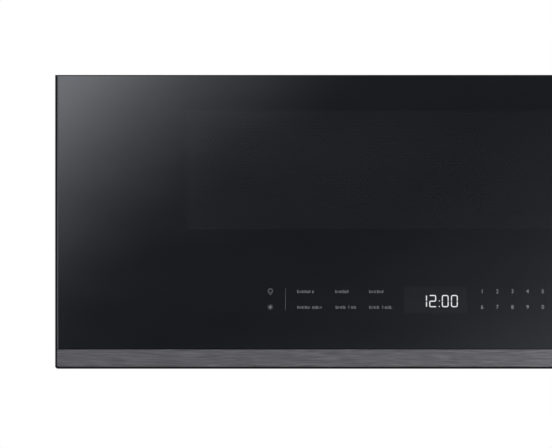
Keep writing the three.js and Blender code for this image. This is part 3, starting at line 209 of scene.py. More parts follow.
finishes = {
    # Toughened float glass with black ceramic print behind it: deep black, mirror clear, faint smears
    "black_glass": surface(
        "printed_black_glass",
        {**SMEARS, "flow": grains(90, detail=1.0)},
        ["#141518", ("smears", 0, 1), "#16171b"],
        SMEARED,
        ("flow", 0.01),
        {"IOR": 1.52},
    ),
    # Stainless strip, brushed lengthwise and tinted dark: fine level streaks that spread the light
    # upright. Real brush lines are about 0.05 mm wide, and these are 0.65 mm so that they show.
    "dark_steel": surface(
        "brushed_dark_stainless",
        {"lines": grains(0.65, (32, 1, 1), 4.0), "bands": grains(1.4, (16, 1, 1))},
        ["#4a494c", ("lines", 0, 1), "#777679", ("bands", 0, 0.6), "#555457"],
        ("lines", 0.3, 0.42),
        ("lines", 0.015),
        {"Metallic": 1.0},
    ),
    "dark_plastic": moulded_plastic("dark_moulded_abs", "#0c0c0e", "#101012", 0.58, shine=0.12),
    "panel_plastic": moulded_plastic("door_panel_abs", "#212225", "#26272b", 0.5, 0.5, 0.012),
    # Steel with a dark baked powder coat: a fine orange peel and tiny paler specks in the resin
    "painted_steel": surface(
        "powder_coated_steel",
        {"peel": grains(0.9, detail=2.0), "specks": cells(0.9), "cloud": grains(45)},
        ["#1b1c1f", ("cloud", 0, 1), "#212226", ("specks.Distance", 0.5, 0, 0.02, 0.14), "#34353a"],
        ("peel", 0.4, 0.52),
        ("peel", 0.02),
        {"IOR": 1.5},
    ),
    "zinc_steel": galvanised("galvanised_sheet", "#9da0a3", "#b4b7ba", 7),
    # Grey speckled enamel baked on steel: a smooth glaze with small dark and pale flecks
    "enamel": surface(
        "baked_grey_enamel",
        {"flecks": cells(0.55), "cloud": grains(30), "glaze": grains(5, detail=1.0)},
        ["#898b8d", ("cloud", 0, 1), "#949698", ("flecks.Distance", 0.8, 0, 0.08, 0.2), "#5f6163"],
        ("glaze", 0.26, 0.36),
        ("glaze", 0.03),
        {"IOR": 1.52},
    ),
    "stainless": rolled_metal("drawn_stainless", "#a9a9a6", "#c2c2be", 0.26, (1, 1, 30)),
    "aluminium": rolled_metal("mill_aluminium", "#b4b7ba", "#cbced0", 0.34),
    # Pressed soda-lime glass: clear with a green cast, and faint ripples from the press
    "clear_glass": surface(
        "pressed_clear_glass",
        {"ripple": grains(14, detail=1.0)},
        ["#e6f1ed", ("ripple", 0, 1), "#edf5f2"],
        ("ripple", 0.02, 0.05),
        ("ripple", 0.02),
        {"IOR": 1.52, "Transmission Weight": 1.0},
    ),
    # Frosted polycarbonate lamp lens: milky white that lets some light through
    "lens_plastic": surface(
        "frosted_polycarbonate",
        {"frost": grains(0.6), "cloud": grains(18)},
        ["#eff0ef", ("cloud", 0, 1), "#f5f6f5"],
        ("frost", 0.3, 0.42),
        ("frost", 0.01),
        {"IOR": 1.58, "Transmission Weight": 0.15},
    ),
    "white_plastic": moulded_plastic("natural_white_plastic", "#d6d5ce", "#e1e0da", 0.45),
    # Glass-epoxy board with green solder resist: paler tracks under the resist, in a running bond
    "circuit_board": surface(
        "green_circuit_board",
        {
            "tracks": (
                "ShaderNodeTexBrick",
                None,
                {
                    "Color1": linear("#1d5a39"),
                    "Color2": linear("#1a5033"),
                    "Mortar": linear("#3f8358"),
                    "Scale": 0.18,
                    "Mortar Size": 0.035,
                    "Brick Width": 1.6,
                    "Row Height": 0.4,
                },
                {"offset": 0.5, "squash": 1.0},
            ),
            "weave": grains(0.5),
        },
        ["tracks.Color"],
        ("weave", 0.35, 0.5),
        ("tracks", 0.03),
        {"IOR": 1.5},
    ),
    # Pressed muscovite sheet: overlapping pearly flakes in pale brown, 4 mm wide
    "mica": surface(
        "pressed_mica",
        {"flakes": cells(1 / 4)},
        ["#bcb193", "flakes.Red", "#ddd4bb"],
        ("flakes.Green", 0.3, 0.6, 0, 1),
        ("flakes.Distance", 0.05),
        {"IOR": 1.58, "Sheen Weight": 0.2},
    ),
    # Activated charcoal in a net: dull black grains of about 3 mm
    "charcoal": surface(
        "charcoal_granules",
        {"grains": cells(1 / 3)},
        ["#121212", "grains.Red", "#2a2a2b"],
        0.92,
        (("grains.Distance", 1, 0, 0, 0.7), 0.9),
    ),
    # Enamelled copper wire laid in turns 1.2 mm apart: ridges with a lacquered shine
    "copper": surface(
        "enamelled_copper_wire",
        {
            "turns": (
                "ShaderNodeTexWave",
                None,
                {"Scale": 0.26, "Distortion": 0.3, "Detail": 1.0},
                {"wave_type": "BANDS", "bands_direction": "Z"},
            )
        },
        ["#5c2b16", "turns", "#b8653a"],
        ("turns", 0.45, 0.28, 0, 1),
        ("turns", 0.4),
        {"Metallic": 1.0},
    ),
    # Varnished silicon-steel laminations: edges every 0.5 mm, drawn at 1 mm so that they show
    "core_steel": surface(
        "laminated_core_steel",
        {
            "sheets": (
                "ShaderNodeTexWave",
                None,
                {"Scale": 0.31, "Distortion": 0.0},
                {"wave_type": "BANDS", "bands_direction": "Y"},
            ),
            "stain": grains(9),
        },
        ["#3d3f43", "sheets", "#63656a", ("stain", 0, 0.5), "#4a4038"],
        ("stain", 0.4, 0.6),
        ("sheets", 0.1),
        {"Metallic": 0.8},
    ),
    # Black EPDM rubber: dull, with a dusty bloom
    "rubber": surface(
        "moulded_rubber",
        {"bloom": grains(6), "grit": grains(0.5)},
        ["#1b1b1b", ("bloom", 0, 1), "#282828"],
        ("bloom", 0.72, 0.88),
        ("grit", 0.01),
    ),
}
# A darker galvanised tone for the rear panel, as painted shade: it stands for the shadowed depth behind the
# wall plate, so that the plate's holes and edges read dark against it.
shade_darkened_zinc = galvanised("weathered_galvanised_sheet", "#6f7275", "#898c8f", 10)
black_oxide = rolled_metal("black_oxide_steel", "#232325", "#333336", 0.36, (1, 1, 1))
# The same glass where the print thins out: a smoke tint with a slight haze over the dark screen
smoked_window = surface(
    "smoked_window_glass",
    SMEARS,
    ["#41434b", ("smears", 0, 1), "#45474e"],
    SMEARED,
    others={"IOR": 1.52, "Transmission Weight": 0.86},
)
# The glass over the clock: a thinner print, a shade lighter than the rest
thin_print = surface(
    "display_window_glass",
    SMEARS,
    ["#191a1e", ("smears", 0, 1), "#1b1c20"],
    SMEARED,
    others={"IOR": 1.52},
)
# The glass's side edges, ground to a fine matt grey that catches the light as a thin line
ground_edge = surface(
    "ground_glass_edge",
    {"grit": grains(0.4)},
    ["#2a2b2e", ("grit", 0, 1), "#333438"],
    ("grit", 0.45, 0.6),
    ("grit", 0.01),
    {"IOR": 1.52},
)
# Grey ceramic ink of the touch marks, printed on the glass: flat, with slightly uneven cover
grey_ink = surface(
    "grey_ceramic_ink",
    {"cover": grains(0.8)},
    ["#7c7d81", ("cover", 0, 1), "#87888c"],
    0.35,
)
# The clock's lit segments: cool white light, a little brighter here and there along a stroke
clock_light = surface(
    "lit_clock_segments",
    {"cover": grains(1.5)},
    ["#e6ebec", ("cover", 0, 1), "#f6f9f9"],
    0.3,
    others={"Base Color": linear("#101216"), "Emission Strength": 0.9},
    seat="Emission Color",
)

for node, thing in frame["nodes"].items():
    for material_slot in thing.material_slots:
        material_slot.material = finishes[slot_of[node]]


# ---------------------------------------------------------------- meshes and pieces


def in_scene(name, data):
    """A new object in the scene that holds a mesh, a curve, a light or a lens."""
    thing = bpy.data.objects.new(name, data)
    bpy.context.scene.collection.objects.link(thing)
    return thing


def made_mesh(thing):
    """What an object's modifiers or its curves make, as a plain mesh."""
    return bpy.data.meshes.new_from_object(thing.evaluated_get(bpy.context.evaluated_depsgraph_get()))


def settle(piece):
    """Turns what a piece's modifiers make into its plain mesh."""
    made = made_mesh(piece)
    piece.modifiers.clear()
    piece.data = made


def to_mesh(work, name):
    """A bmesh as a plain mesh."""
    mesh = bpy.data.meshes.new(name)
    work.to_mesh(mesh)
    work.free()
    return mesh


def place(name, shape, body, slot, nodes=(), finish=None, smooth=35):
    """Puts a shape in the scene as a piece that rides on a body and may stand for CAD nodes."""
    mesh = to_mesh(shape, name) if isinstance(shape, bmesh.types.BMesh) else shape
    piece = in_scene(name, mesh)
    if not mesh.materials:
        mesh.materials.append(finish or finishes[slot])
    mesh.shade_smooth()
    mesh.set_sharp_from_angle(angle=math.radians(smooth))
    normals = piece.modifiers.new("Normals", "WEIGHTED_NORMAL")
    normals.keep_sharp = True
    settle(piece)
    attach(piece, body)
    if nodes:
        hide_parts(*nodes)
    return piece


def stand_in(node, shape, finish=None, smooth=35):
    """Puts a finished shape in the place of a CAD node."""
    return place(f"{node}_finished", shape, body_of[node], slot_of[node], [node], finish, smooth)


def spot(x, y, height):
    """A place in millimetres, as metres in the frame."""
    return Vector((x * MM, y * MM, (height - HALF_HEIGHT) * MM))


def in_mm(node):
    """A CAD node's lowest and highest corners in millimetres, heights above the underside."""
    low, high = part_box(node)
    low, high = low / MM, high / MM
    return (low.x, low.y, low.z + HALF_HEIGHT), (high.x, high.y, high.z + HALF_HEIGHT)


def merged(node):
    """A CAD node's own shape, with its doubles merged and its flat faces whole."""
    work = bmesh.new()
    work.from_mesh(frame["nodes"][node].data)
    bmesh.ops.remove_doubles(work, verts=work.verts, dist=2e-6)
    bmesh.ops.dissolve_limit(
        work, angle_limit=math.radians(1), verts=work.verts, edges=work.edges
    )
    return work


def sharp_edges(work):
    """The edges where two faces meet at more than 32 degrees."""
    limit = math.radians(32)
    return [e for e in work.edges if len(e.link_faces) == 2 and e.calc_face_angle(0) > limit]


def round_off(work, edges, radius_mm, segments):
    """Rounds edges of a bmesh, or fills them where they are hollow."""
    bmesh.ops.bevel(
        work,
        geom=edges,
        offset=radius_mm * MM,
        offset_type="OFFSET",
        segments=segments,
        profile=0.5,
        affect="EDGES",
        clamp_overlap=True,
    )


def along(edge, axis):
    """Whether an edge runs along x (0), y (1) or z (2)."""
    run = edge.verts[1].co - edge.verts[0].co
    return run.length > 0 and abs(run[axis]) > 0.999 * run.length


def soften(node, radius_mm=0.4, segments=2, folds=(), finish=None, work=None):
    """A CAD node's shape with the rounded edges that its folding or moulding leaves.

    Each fold is a test that picks edges and a larger radius for them, rounded first. A shape that was
    already changed comes as work, and a finish other than its slot's as finish.
    """
    work = work or merged(node)
    for picks, fold_mm in folds:
        round_off(work, [e for e in sharp_edges(work) if picks(e)], fold_mm, 4)
    if radius_mm:
        round_off(work, sharp_edges(work), radius_mm, segments)
    return stand_in(node, work, finish)


def cut_away(work, cutter_work):
    """What is left of a shape when another is cut from it."""
    whole, cutter = [in_scene("cut", to_mesh(made, "cut")) for made in (work, cutter_work)]
    opening = whole.modifiers.new("Opening", "BOOLEAN")
    opening.object = cutter
    opening.solver = "EXACT"
    settle(whole)
    left = bmesh.new()
    left.from_mesh(whole.data)
    bmesh.ops.triangulate(left, faces=left.faces)
    for thing in (whole, cutter):
        bpy.data.objects.remove(thing)
    return left


def block(work, low, high, radius_mm=0.0, segments=2):
    """Adds a block between two corners in millimetres, with rounded edges."""
    low = Vector((low[0], low[1], low[2] - HALF_HEIGHT)) * MM
    high = Vector((high[0], high[1], high[2] - HALF_HEIGHT)) * MM
    matrix = Matrix.Translation((low + high) / 2) @ Matrix.Diagonal((*(high - low), 1.0))
    made = bmesh.ops.create_cube(work, size=1.0, matrix=matrix)
    if radius_mm:
        edges = {edge for vert in made["verts"] for edge in vert.link_edges}
        round_off(work, list(edges), radius_mm, segments)


def plug(work, radius_mm, depth_mm, sides, matrix=None, top_mm=None):
    """Adds an upright round of so many sides about the origin, which may taper, set by a matrix."""
    bmesh.ops.create_cone(
        work,
        cap_ends=True,
        segments=sides,
        radius1=radius_mm * MM,
        radius2=(top_mm or radius_mm) * MM,
        depth=depth_mm * MM,
        matrix=matrix or Matrix.Identity(4),
    )


def wall(work, first, second):
    """Adds the faces between two closed rings of vertices, or between a ring and a single one."""
    count = max(len(first), len(second))
    faces = []
    for index in range(count):
        after = (index + 1) % count
        near = (first[index % len(first)], first[after % len(first)])
        far = (second[after % len(second)], second[index % len(second)])
        faces.append(work.faces.new(list(dict.fromkeys(near + far))))
    return faces


def between_ends(work, ends):
    """Adds a closed shape between two matching outlines of points in metres."""
    rings = [[work.verts.new(point) for point in points] for points in ends]
    faces = [work.faces.new(ring) for ring in rings]
    bmesh.ops.recalc_face_normals(work, faces=faces + wall(work, *rings))


def lathe(work, profile, centre, steps):
    """Adds a turned shape from an outline of (radius, height) that starts and ends on its upright axis."""
    cx, cy = centre
    rings = []
    for radius, height in profile:
        turns = [2 * math.pi * step / steps for step in range(steps if radius else 1)]
        corners = [(cx + radius * math.cos(turn), cy + radius * math.sin(turn)) for turn in turns]
        rings.append([work.verts.new(spot(x, y, height)) for x, y in corners])
    for first, second in zip(rings, rings[1:]):
        wall(work, first, second)
    bmesh.ops.recalc_face_normals(work, faces=work.faces)


def lets_light_through(pane):
    """Clear glass lets the light pass to what is behind it."""
    pane.visible_shadow = False


# ---------------------------------------------------------------- repeats, by Geometry Nodes


def new_tree(name, sockets):
    """A geometry tree with its named inputs, its group input's sockets and its group output node."""
    tree = bpy.data.node_groups.new(name, "GeometryNodeTree")
    tree.interface.new_socket("Geometry", in_out="INPUT", socket_type="NodeSocketGeometry")
    for label, kind in sockets.items():
        tree.interface.new_socket(label, in_out="INPUT", socket_type=f"NodeSocket{kind}")
    tree.interface.new_socket("Geometry", in_out="OUTPUT", socket_type="NodeSocketGeometry")
    return tree, add(tree, "NodeGroupInput").outputs, add(tree, "NodeGroupOutput")


def copies_tree():
    """Sets a copy of a shape at each point of a mesh, turned so that its z follows the point's aim."""
    tree, given, result = new_tree(
        "copies_at_points", {"Shape": "Object", "Size": "Float", "Finish": "Material"}
    )
    shape = add(tree, "GeometryNodeObjectInfo", {"Object": given["Shape"]})
    aim = add(tree, "GeometryNodeInputNamedAttribute", {"Name": "aim"}, data_type="FLOAT_VECTOR")
    turned = add(
        tree, "FunctionNodeAlignRotationToVector", {"Vector": aim.outputs["Attribute"]}, axis="Z"
    )
    copies = add(
        tree,
        "GeometryNodeInstanceOnPoints",
        {
            "Points": given["Geometry"],
            "Instance": shape.outputs["Geometry"],
            "Rotation": turned,
            "Scale": given["Size"],
        },
    )
    real = add(tree, "GeometryNodeRealizeInstances", {"Geometry": copies})
    finished = add(tree, "GeometryNodeSetMaterial", {"Geometry": real, "Material": given["Finish"]})
    feed(tree, result, {"Geometry": finished})
    return tree


def lattice_tree():
    """Tiles one cell over a level rectangle in staggered rows, and can pleat the result."""
    tree, given, result = new_tree(
        "staggered_lattice",
        {
            "Columns": "Int",
            "Rows": "Int",
            "Pitch": "Float",
            "Row Spacing": "Float",
            "Cell": "Object",
            "Pleat Height": "Float",
            "Pleat Length": "Float",
            "Finish": "Material",
        },
    )
    spans = []
    for count, step in (("Columns", "Pitch"), ("Rows", "Row Spacing")):
        fewer = add(tree, "ShaderNodeMath", {0: given[count], 1: 1.0}, operation="SUBTRACT")
        spans.append(add(tree, "ShaderNodeMath", {0: fewer, 1: given[step]}, operation="MULTIPLY"))
    grid = add(
        tree,
        "GeometryNodeMeshGrid",
        {
            "Size X": spans[0],
            "Size Y": spans[1],
            "Vertices X": given["Columns"],
            "Vertices Y": given["Rows"],
        },
    )
    # A grid's points run up each column in turn, so the row is the index modulo the rows. Odd rows
    # shift by a quarter of the pitch one way, and even rows the other way.
    index = add(tree, "GeometryNodeInputIndex")
    row = add(tree, "ShaderNodeMath", {0: index, 1: given["Rows"]}, operation="MODULO")
    odd = add(tree, "ShaderNodeMath", {0: row, 1: 2.0}, operation="MODULO")
    shifted = add(tree, "ShaderNodeMath", {0: odd, 1: 0.5, 2: -0.25}, operation="MULTIPLY_ADD")
    shift = add(tree, "ShaderNodeMath", {0: shifted, 1: given["Pitch"]}, operation="MULTIPLY")
    offset = add(tree, "ShaderNodeCombineXYZ", {"X": shift})
    staggered = add(tree, "GeometryNodeSetPosition", {"Geometry": grid, "Offset": offset})
    cell = add(tree, "GeometryNodeObjectInfo", {"Object": given["Cell"]}).outputs["Geometry"]
    copies = add(tree, "GeometryNodeInstanceOnPoints", {"Points": staggered, "Instance": cell})
    real = add(tree, "GeometryNodeRealizeInstances", {"Geometry": copies})
    # Pleats: z rises and falls with x
    position = add(tree, "GeometryNodeInputPosition")
    x = add(tree, "ShaderNodeSeparateXYZ", {"Vector": position}).outputs["X"]
    turns = add(tree, "ShaderNodeMath", {0: x, 1: given["Pleat Length"]}, operation="DIVIDE")
    phase = add(tree, "ShaderNodeMath", {0: turns, 1: 2 * math.pi}, operation="MULTIPLY")
    wave = add(tree, "ShaderNodeMath", {0: phase}, operation="SINE")
    rise = add(tree, "ShaderNodeMath", {0: wave, 1: given["Pleat Height"]}, operation="MULTIPLY")
    lift = add(tree, "ShaderNodeCombineXYZ", {"Z": rise})
    pleated = add(tree, "GeometryNodeSetPosition", {"Geometry": real, "Offset": lift})
    finished = add(tree, "GeometryNodeSetMaterial", {"Geometry": pleated, "Material": given["Finish"]})
    feed(tree, result, {"Geometry": finished})
    return tree


COPIES = copies_tree()
LATTICE = lattice_tree()


def grow(name, mesh, tree, values):
    """What a geometry tree makes from a mesh and its named inputs, as a plain mesh."""
    holder = in_scene(name, mesh)
    modifier = holder.modifiers.new("Repeat", "NODES")
    modifier.node_group = tree
    for item in tree.interface.items_tree:
        if item.item_type == "SOCKET" and item.in_out == "INPUT" and item.name in values:
            modifier[item.identifier] = values[item.name]
    settle(holder)
    made = holder.data
    bpy.data.objects.remove(holder)
    return made


def loose(name, work):
    """A shape that trees copy, as an object outside the scene."""
    return bpy.data.objects.new(name, to_mesh(work, name))


def copies(name, shape, places, body, slot, finish=None, size=1.0):
    """A piece of equal small shapes. Each place is a point in millimetres and the way that it faces."""
    mesh = bpy.data.meshes.new(name)
    mesh.from_pydata([spot(*point) for point, _ in places], [], [])
    aims = mesh.attributes.new("aim", "FLOAT_VECTOR", "POINT")
    for index, (_, aim) in enumerate(places):
        aims.data[index].vector = aim
    values = {"Shape": shape, "Size": size, "Finish": finish or finishes[slot]}
    return place(name, grow(name, mesh, COPIES, values), body, slot)


def weld_cells(mesh):
    """Joins a level lattice's cells into one sheet, and walls up the edge round it."""
    work = bmesh.new()
    work.from_mesh(mesh)
    bmesh.ops.remove_doubles(work, verts=work.verts, dist=2e-6)
    rim = [edge for edge in work.edges if edge.is_boundary]
    stacks = {}
    for vert in {vert for edge in rim for vert in edge.verts}:
        stacks.setdefault((round(vert.co.x, 5), round(vert.co.y, 5)), []).append(vert)
    below = {}
    for stack in stacks.values():
        low, *_, high = sorted(stack, key=lambda vert: vert.co.z)
        below[high] = low
    for edge in rim:
        first, second = edge.verts
        if first in below and second in below:
            work.faces.new((first, second, below[second], below[first]))
    bmesh.ops.recalc_face_normals(work, faces=work.faces)
    work.to_mesh(mesh)
    work.free()
    return mesh


def lattice(cell, columns, rows, pitch_mm, row_mm, finish, pleat_mm=0.0, pleat_length_mm=1.0):
    """A level mesh of staggered cells about the origin."""
    values = {
        "Columns": columns,
        "Rows": rows,
        "Pitch": pitch_mm * MM,
        "Row Spacing": row_mm * MM,
        "Cell": cell,
        "Pleat Height": pleat_mm * MM,
        "Pleat Length": pleat_length_mm * MM,
        "Finish": finish,
    }
    return weld_cells(grow("lattice", bpy.data.meshes.new("lattice"), LATTICE, values))


def ring_cell(name, outline, opening, thickness_mm):
    """A flat cell with an opening and no outer walls, from two matching outlines in millimetres."""
    work = bmesh.new()
    half = thickness_mm * MM / 2
    rings = []
    for points, z in ((outline, half), (opening, half), (opening, -half), (outline, -half)):
        rings.append([work.verts.new((x * MM, y * MM, z)) for x, y in points])
    for first, second in zip(rings, rings[1:]):
        wall(work, first, second)
    bmesh.ops.recalc_face_normals(work, faces=work.faces)
    for face in work.faces:
        middle = face.calc_center_median()
        if abs(face.normal.z) > 0.5:
            outwards = face.normal.z * middle.z
        else:
            outwards = -face.normal.xy.dot(middle.xy)
        if outwards < 0:
            face.normal_flip()
    return loose(name, work)


def polygon(radius, sides, turn=0.0):
    """The corners of a regular polygon."""
    angles = [2 * math.pi * index / sides + turn for index in range(sides)]
    return [(radius * math.cos(angle), radius * math.sin(angle)) for angle in angles]


def screw_shape():
    """A hex-washer sheet-metal screw's head, 7 mm across flats on a 10 mm washer, 1.9 mm high."""
    work = bmesh.new()
    plug(work, 5, 0.6, 20, Matrix.Translation((0, 0, 0.3 * MM)), 4.7)
    plug(work, 4, 1.3, 6, Matrix.Translation((0, 0, 1.2 * MM)))
    top = [e for e in sharp_edges(work) if min(v.co.z for v in e.verts) > 1.7 * MM]
    round_off(work, top, 0.35, 1)
    return loose("hex_washer_screw", work)


def turned_shape(name, outline):
    """A small turned shape about the origin, from an outline of (radius, height) in millimetres."""
    work = bmesh.new()
    lathe(work, [(radius, height + HALF_HEIGHT) for radius, height in outline], (0, 0), 20)
    return loose(name, work)


HEX_SCREW = screw_shape()
# A pan-head screw with its driver recess, and the dimple that it sits in
SUNK_SCREW = turned_shape(
    "pan_head_screw",
    [(0, 0.45), (0.9, 0.6), (1.1, 1.12), (1.9, 1.1), (3.0, 0.75), (3.4, 0.2), (3.4, -0.1), (0, -0.1)],
)
DIMPLE = turned_shape(
    "screw_dimple", [(0, 0), (3.9, 0), (4.4, 1.18), (4.7, 1.1), (4.7, -0.25), (0, -0.25)]
)


# ---------------------------------------------------------------- the door


PANE_LAP = 8.0  # of the inner pane over the window in the print
PANE_LOW, PANE_HIGH = in_mm("inner_window")
WINDOW_X = (PANE_LOW[0] + PANE_LAP, PANE_HIGH[0] - PANE_LAP)
WINDOW_H = (PANE_LOW[2] + PANE_LAP, PANE_HIGH[2] - PANE_LAP)
DISPLAY_X = (-68.5, -12.5)
DISPLAY_H = (49.7, 73.4)
GLASS_LOW, GLASS_HIGH = in_mm("door_glass")
GLASS_SINK = 0.08  # the glass face stands back by this, so that the print on it stays in the box
INK_FACE = GLASS_LOW[1] + 0.02
INK_THICK = 0.04


def gridded_block(xs, y0, y1, heights):
    """A block in millimetres whose front and back are divided at the given places."""
    work = bmesh.new()
    sheets = [
        [[work.verts.new(spot(x, y, height)) for x in xs] for height in heights] for y in (y0, y1)
    ]
    for rows in sheets:
        for low, high in zip(rows, rows[1:]):
            for index in range(len(xs) - 1):
                work.faces.new((low[index], low[index + 1], high[index + 1], high[index]))
    rims = [
        rows[0] + [row[-1] for row in rows[1:-1]] + rows[-1][::-1] + [row[0] for row in rows[-2:0:-1]]
        for rows in sheets
    ]
    wall(work, *rims)  # round the outside, from the lower left corner
    bmesh.ops.recalc_face_normals(work, faces=work.faces)
    return work


def door_glass():
    """The printed glass, with ground side edges, the smoked window and the clock's window."""
    low, high = GLASS_LOW, GLASS_HIGH
    xs = sorted((low[0], *WINDOW_X, *DISPLAY_X, high[0]))
    heights = sorted((low[2], *WINDOW_H, *DISPLAY_H, high[2]))
    work = gridded_block(xs, low[1] + GLASS_SINK, high[1], heights)
    for face in work.faces:
        if abs(face.normal.y) < 0.5:
            continue
        centre = face.calc_center_median() / MM
        for index, span_x, span_h in ((1, WINDOW_X, WINDOW_H), (2, DISPLAY_X, DISPLAY_H)):
            if span_x[0] < centre.x < span_x[1] and span_h[0] < centre.z + HALF_HEIGHT < span_h[1]:
                face.material_index = index
    front = (low[1] + 1) * MM
    ends = [e for e in sharp_edges(work) if along(e, 2) and max(v.co.y for v in e.verts) < front]
    round_off(work, ends, 1.2, 2)
    for face in work.faces:
        if min(abs(face.normal.x), abs(face.normal.y)) > 0.1:
            face.material_index = 3
    mesh = to_mesh(work, "door_glass_finished")
    for finish in (finishes["black_glass"], smoked_window, thin_print, ground_edge):
        mesh.materials.append(finish)
    stand_in("door_glass", mesh)


def flat_shape(work, outline):
    """Adds a thin closed shape on the glass from an outline of (millimetres from the left, height)."""
    between_ends(
        work,
        [
            [spot(across - HALF_WIDTH, y, up) for across, up in outline]
            for y in (INK_FACE, INK_FACE + INK_THICK)
        ],
    )


def rounded_line(points, radius):
    """A path whose corners are rounded with arcs."""
    steps = 6
    path = [Vector(points[0])]
    for before, corner, after in zip(points, points[1:], points[2:]):
        before, corner, after = Vector(before), Vector(corner), Vector(after)
        start = corner + (before - corner).normalized() * radius
        end = corner + (after - corner).normalized() * radius
        for step in range(steps + 1):
            share = step / steps
            path.append(
                start * (1 - share) ** 2 + corner * 2 * share * (1 - share) + end * share**2
            )
    path.append(Vector(points[-1]))
    return path


def stroke(work, points, width, radius=0.0):
    """Adds a stroke of even width along a path."""
    path = rounded_line(points, radius) if radius else [Vector(point) for point in points]
    left_side, right_side = [], []
    for index, point in enumerate(path):
        ahead = path[min(index + 1, len(path) - 1)]
        behind = path[max(index - 1, 0)]
        run = (ahead - behind).normalized()
        across = Vector((-run.y, run.x)) * width / 2
        left_side.append(point + across)
        right_side.append(point - across)
    flat_shape(work, [tuple(p) for p in right_side + left_side[::-1]])


def disc(work, across, up, radius, sides=20):
    """Adds a small filled round."""
    flat_shape(work, [(across + x, up + y) for x, y in polygon(radius, sides)])


def circle_line(work, across, up, radius, width, steps=24):
    """Adds a round line."""
    points = [(across + x, up + y) for x, y in polygon(radius, steps)]
    for first, second in zip(points, points[1:] + points[:1]):
        stroke(work, [first, second], width)


def clock():
    """12:00 in thin seven-segment strokes, lit behind the glass."""
    work = bmesh.new()
    low, high, middle = 55.4, 65.35, 60.3
    width, gap, corner = 0.9, 0.35, 1.5
    one_x = 331.05
    for start, end in ((low, middle - 0.5), (middle + 0.5, high)):
        stroke(work, [(one_x, start), (one_x, end)], width)
    two = [(334.0, high), (339.2, high), (339.2, middle), (334.0, middle), (334.0, low), (339.6, low)]
    stroke(work, two, width, 1.1)
    for left_x, right_x in ((345.2, 350.35), (353.35, 358.5)):
        for start, end in ((middle + gap, high), (middle - gap, low)):
            half = [(left_x, start), (left_x, end), (right_x, end), (right_x, start)]
            stroke(work, half, width, corner)
    for up in (60.6, 55.6):
        disc(work, 342.5, up, 0.45, 12)
    place("clock_digits", work, "door", "black_glass", finish=clock_light)


def small_digit(text, across, up, height_mm):
    """One printed digit as a thin mesh."""
    cap_share = 0.72  # of the letters' full size
    curve = bpy.data.curves.new("digit", "FONT")
    curve.body = text
    curve.size = height_mm * MM / cap_share
    curve.align_x = "CENTER"
    curve.align_y = "CENTER"
    curve.extrude = INK_THICK / 2 * MM
    curve.offset = -0.055 * MM
    curve.resolution_u = 3
    letter = in_scene("digit", curve)
    mesh = made_mesh(letter)
    bpy.data.objects.remove(letter)
    stand = Matrix.Translation(spot(across - HALF_WIDTH, INK_FACE + INK_THICK / 2, up))
    mesh.transform(stand @ Matrix.Rotation(math.radians(90), 4, "X"))
    return mesh


ROW_HIGH = 68.9
ROW_LOW = 54.9


def false_word(work, start, end, height):
    """Adds small open cells that fill the width of a word and spell nothing."""
    body, foot = height + 0.7, height - 1.1
    cell_mm, margin, longest_word = 2.3, 0.42, 7
    count = round((end - start) / cell_mm)
    pitch = (end - start) / count
    for beat in range(count):
        if count > longest_word and beat == count // 2:
            continue  # a gap, as between two words
        left = start + beat * pitch + margin
        right = left + pitch * (0.5, 0.68, 0.6)[beat % 3]
        top = height + (1.5, 0.7, 0.7, 1.4, 0.7)[beat % 5]
        stroke(work, [(left, foot), (left, top)], 0.3)
        if beat % 3 != 2:
            stroke(work, [(right, foot), (right, body)], 0.27)
        if beat % 4 != 1:
            stroke(work, [(left, foot), (right, foot)], 0.2)
        if beat % 4 > 1:
            stroke(work, [(left, height + 0.6), (right, height + 0.6)], 0.2)


def touch_marks():
    """The printed marks: small open cells in place of words, signs, dividers and the digits."""
    work = bmesh.new()
    # Two signs on the left: a ring over a short foot, and a small sun
    sign_x = 191.9
    circle_line(work, sign_x, ROW_HIGH + 0.5, 1.95, 0.26)
    stroke(work, [(sign_x - 0.8, ROW_HIGH - 2.5), (sign_x + 0.8, ROW_HIGH - 2.5)], 0.26)
    disc(work, sign_x, ROW_LOW, 0.8)
    for inner, outer in zip(polygon(1.5, 8), polygon(2.4, 8)):
        stroke(work, [(sign_x + x, ROW_LOW + y) for x, y in (inner, outer)], 0.3)
    # The widths that the marks have in each row
    rows = {
        ROW_HIGH: [(215.7, 231.1), (249.6, 262.8), (279.9, 294.2), (446.0, 458.6), (480.5, 493.0)],
        ROW_LOW: [(215.9, 238.0), (250.0, 268.3), (279.9, 300.9), (444.0, 460.4), (478.6, 495.0)],
    }
    for height, spans in rows.items():
        for start, end in (*spans, (513.0, 527.0)):
            false_word(work, start, end, height)
    for divider_x in (205.4, 553.6):
        stroke(work, [(divider_x, 52.4), (divider_x, 71.6)], 0.1)
    # Two signs on the right: a ring, and three short lines
    sign_x = 567.1
    circle_line(work, sign_x, ROW_HIGH, 2.1, 0.28)
    for up in (ROW_LOW - 1.6, ROW_LOW, ROW_LOW + 1.6):
        stroke(work, [(sign_x - 2, up), (sign_x + 2, up)], 0.28)
    first_x, pitch, digit_mm = 380.7, 13.5, 3.7
    for index, text in enumerate("1234567890"):
        up = ROW_HIGH if index < 5 else ROW_LOW
        work.from_mesh(small_digit(text, first_x + pitch * (index % 5), up, digit_mm))
    place("touch_marks", work, "door", "black_glass", finish=grey_ink)


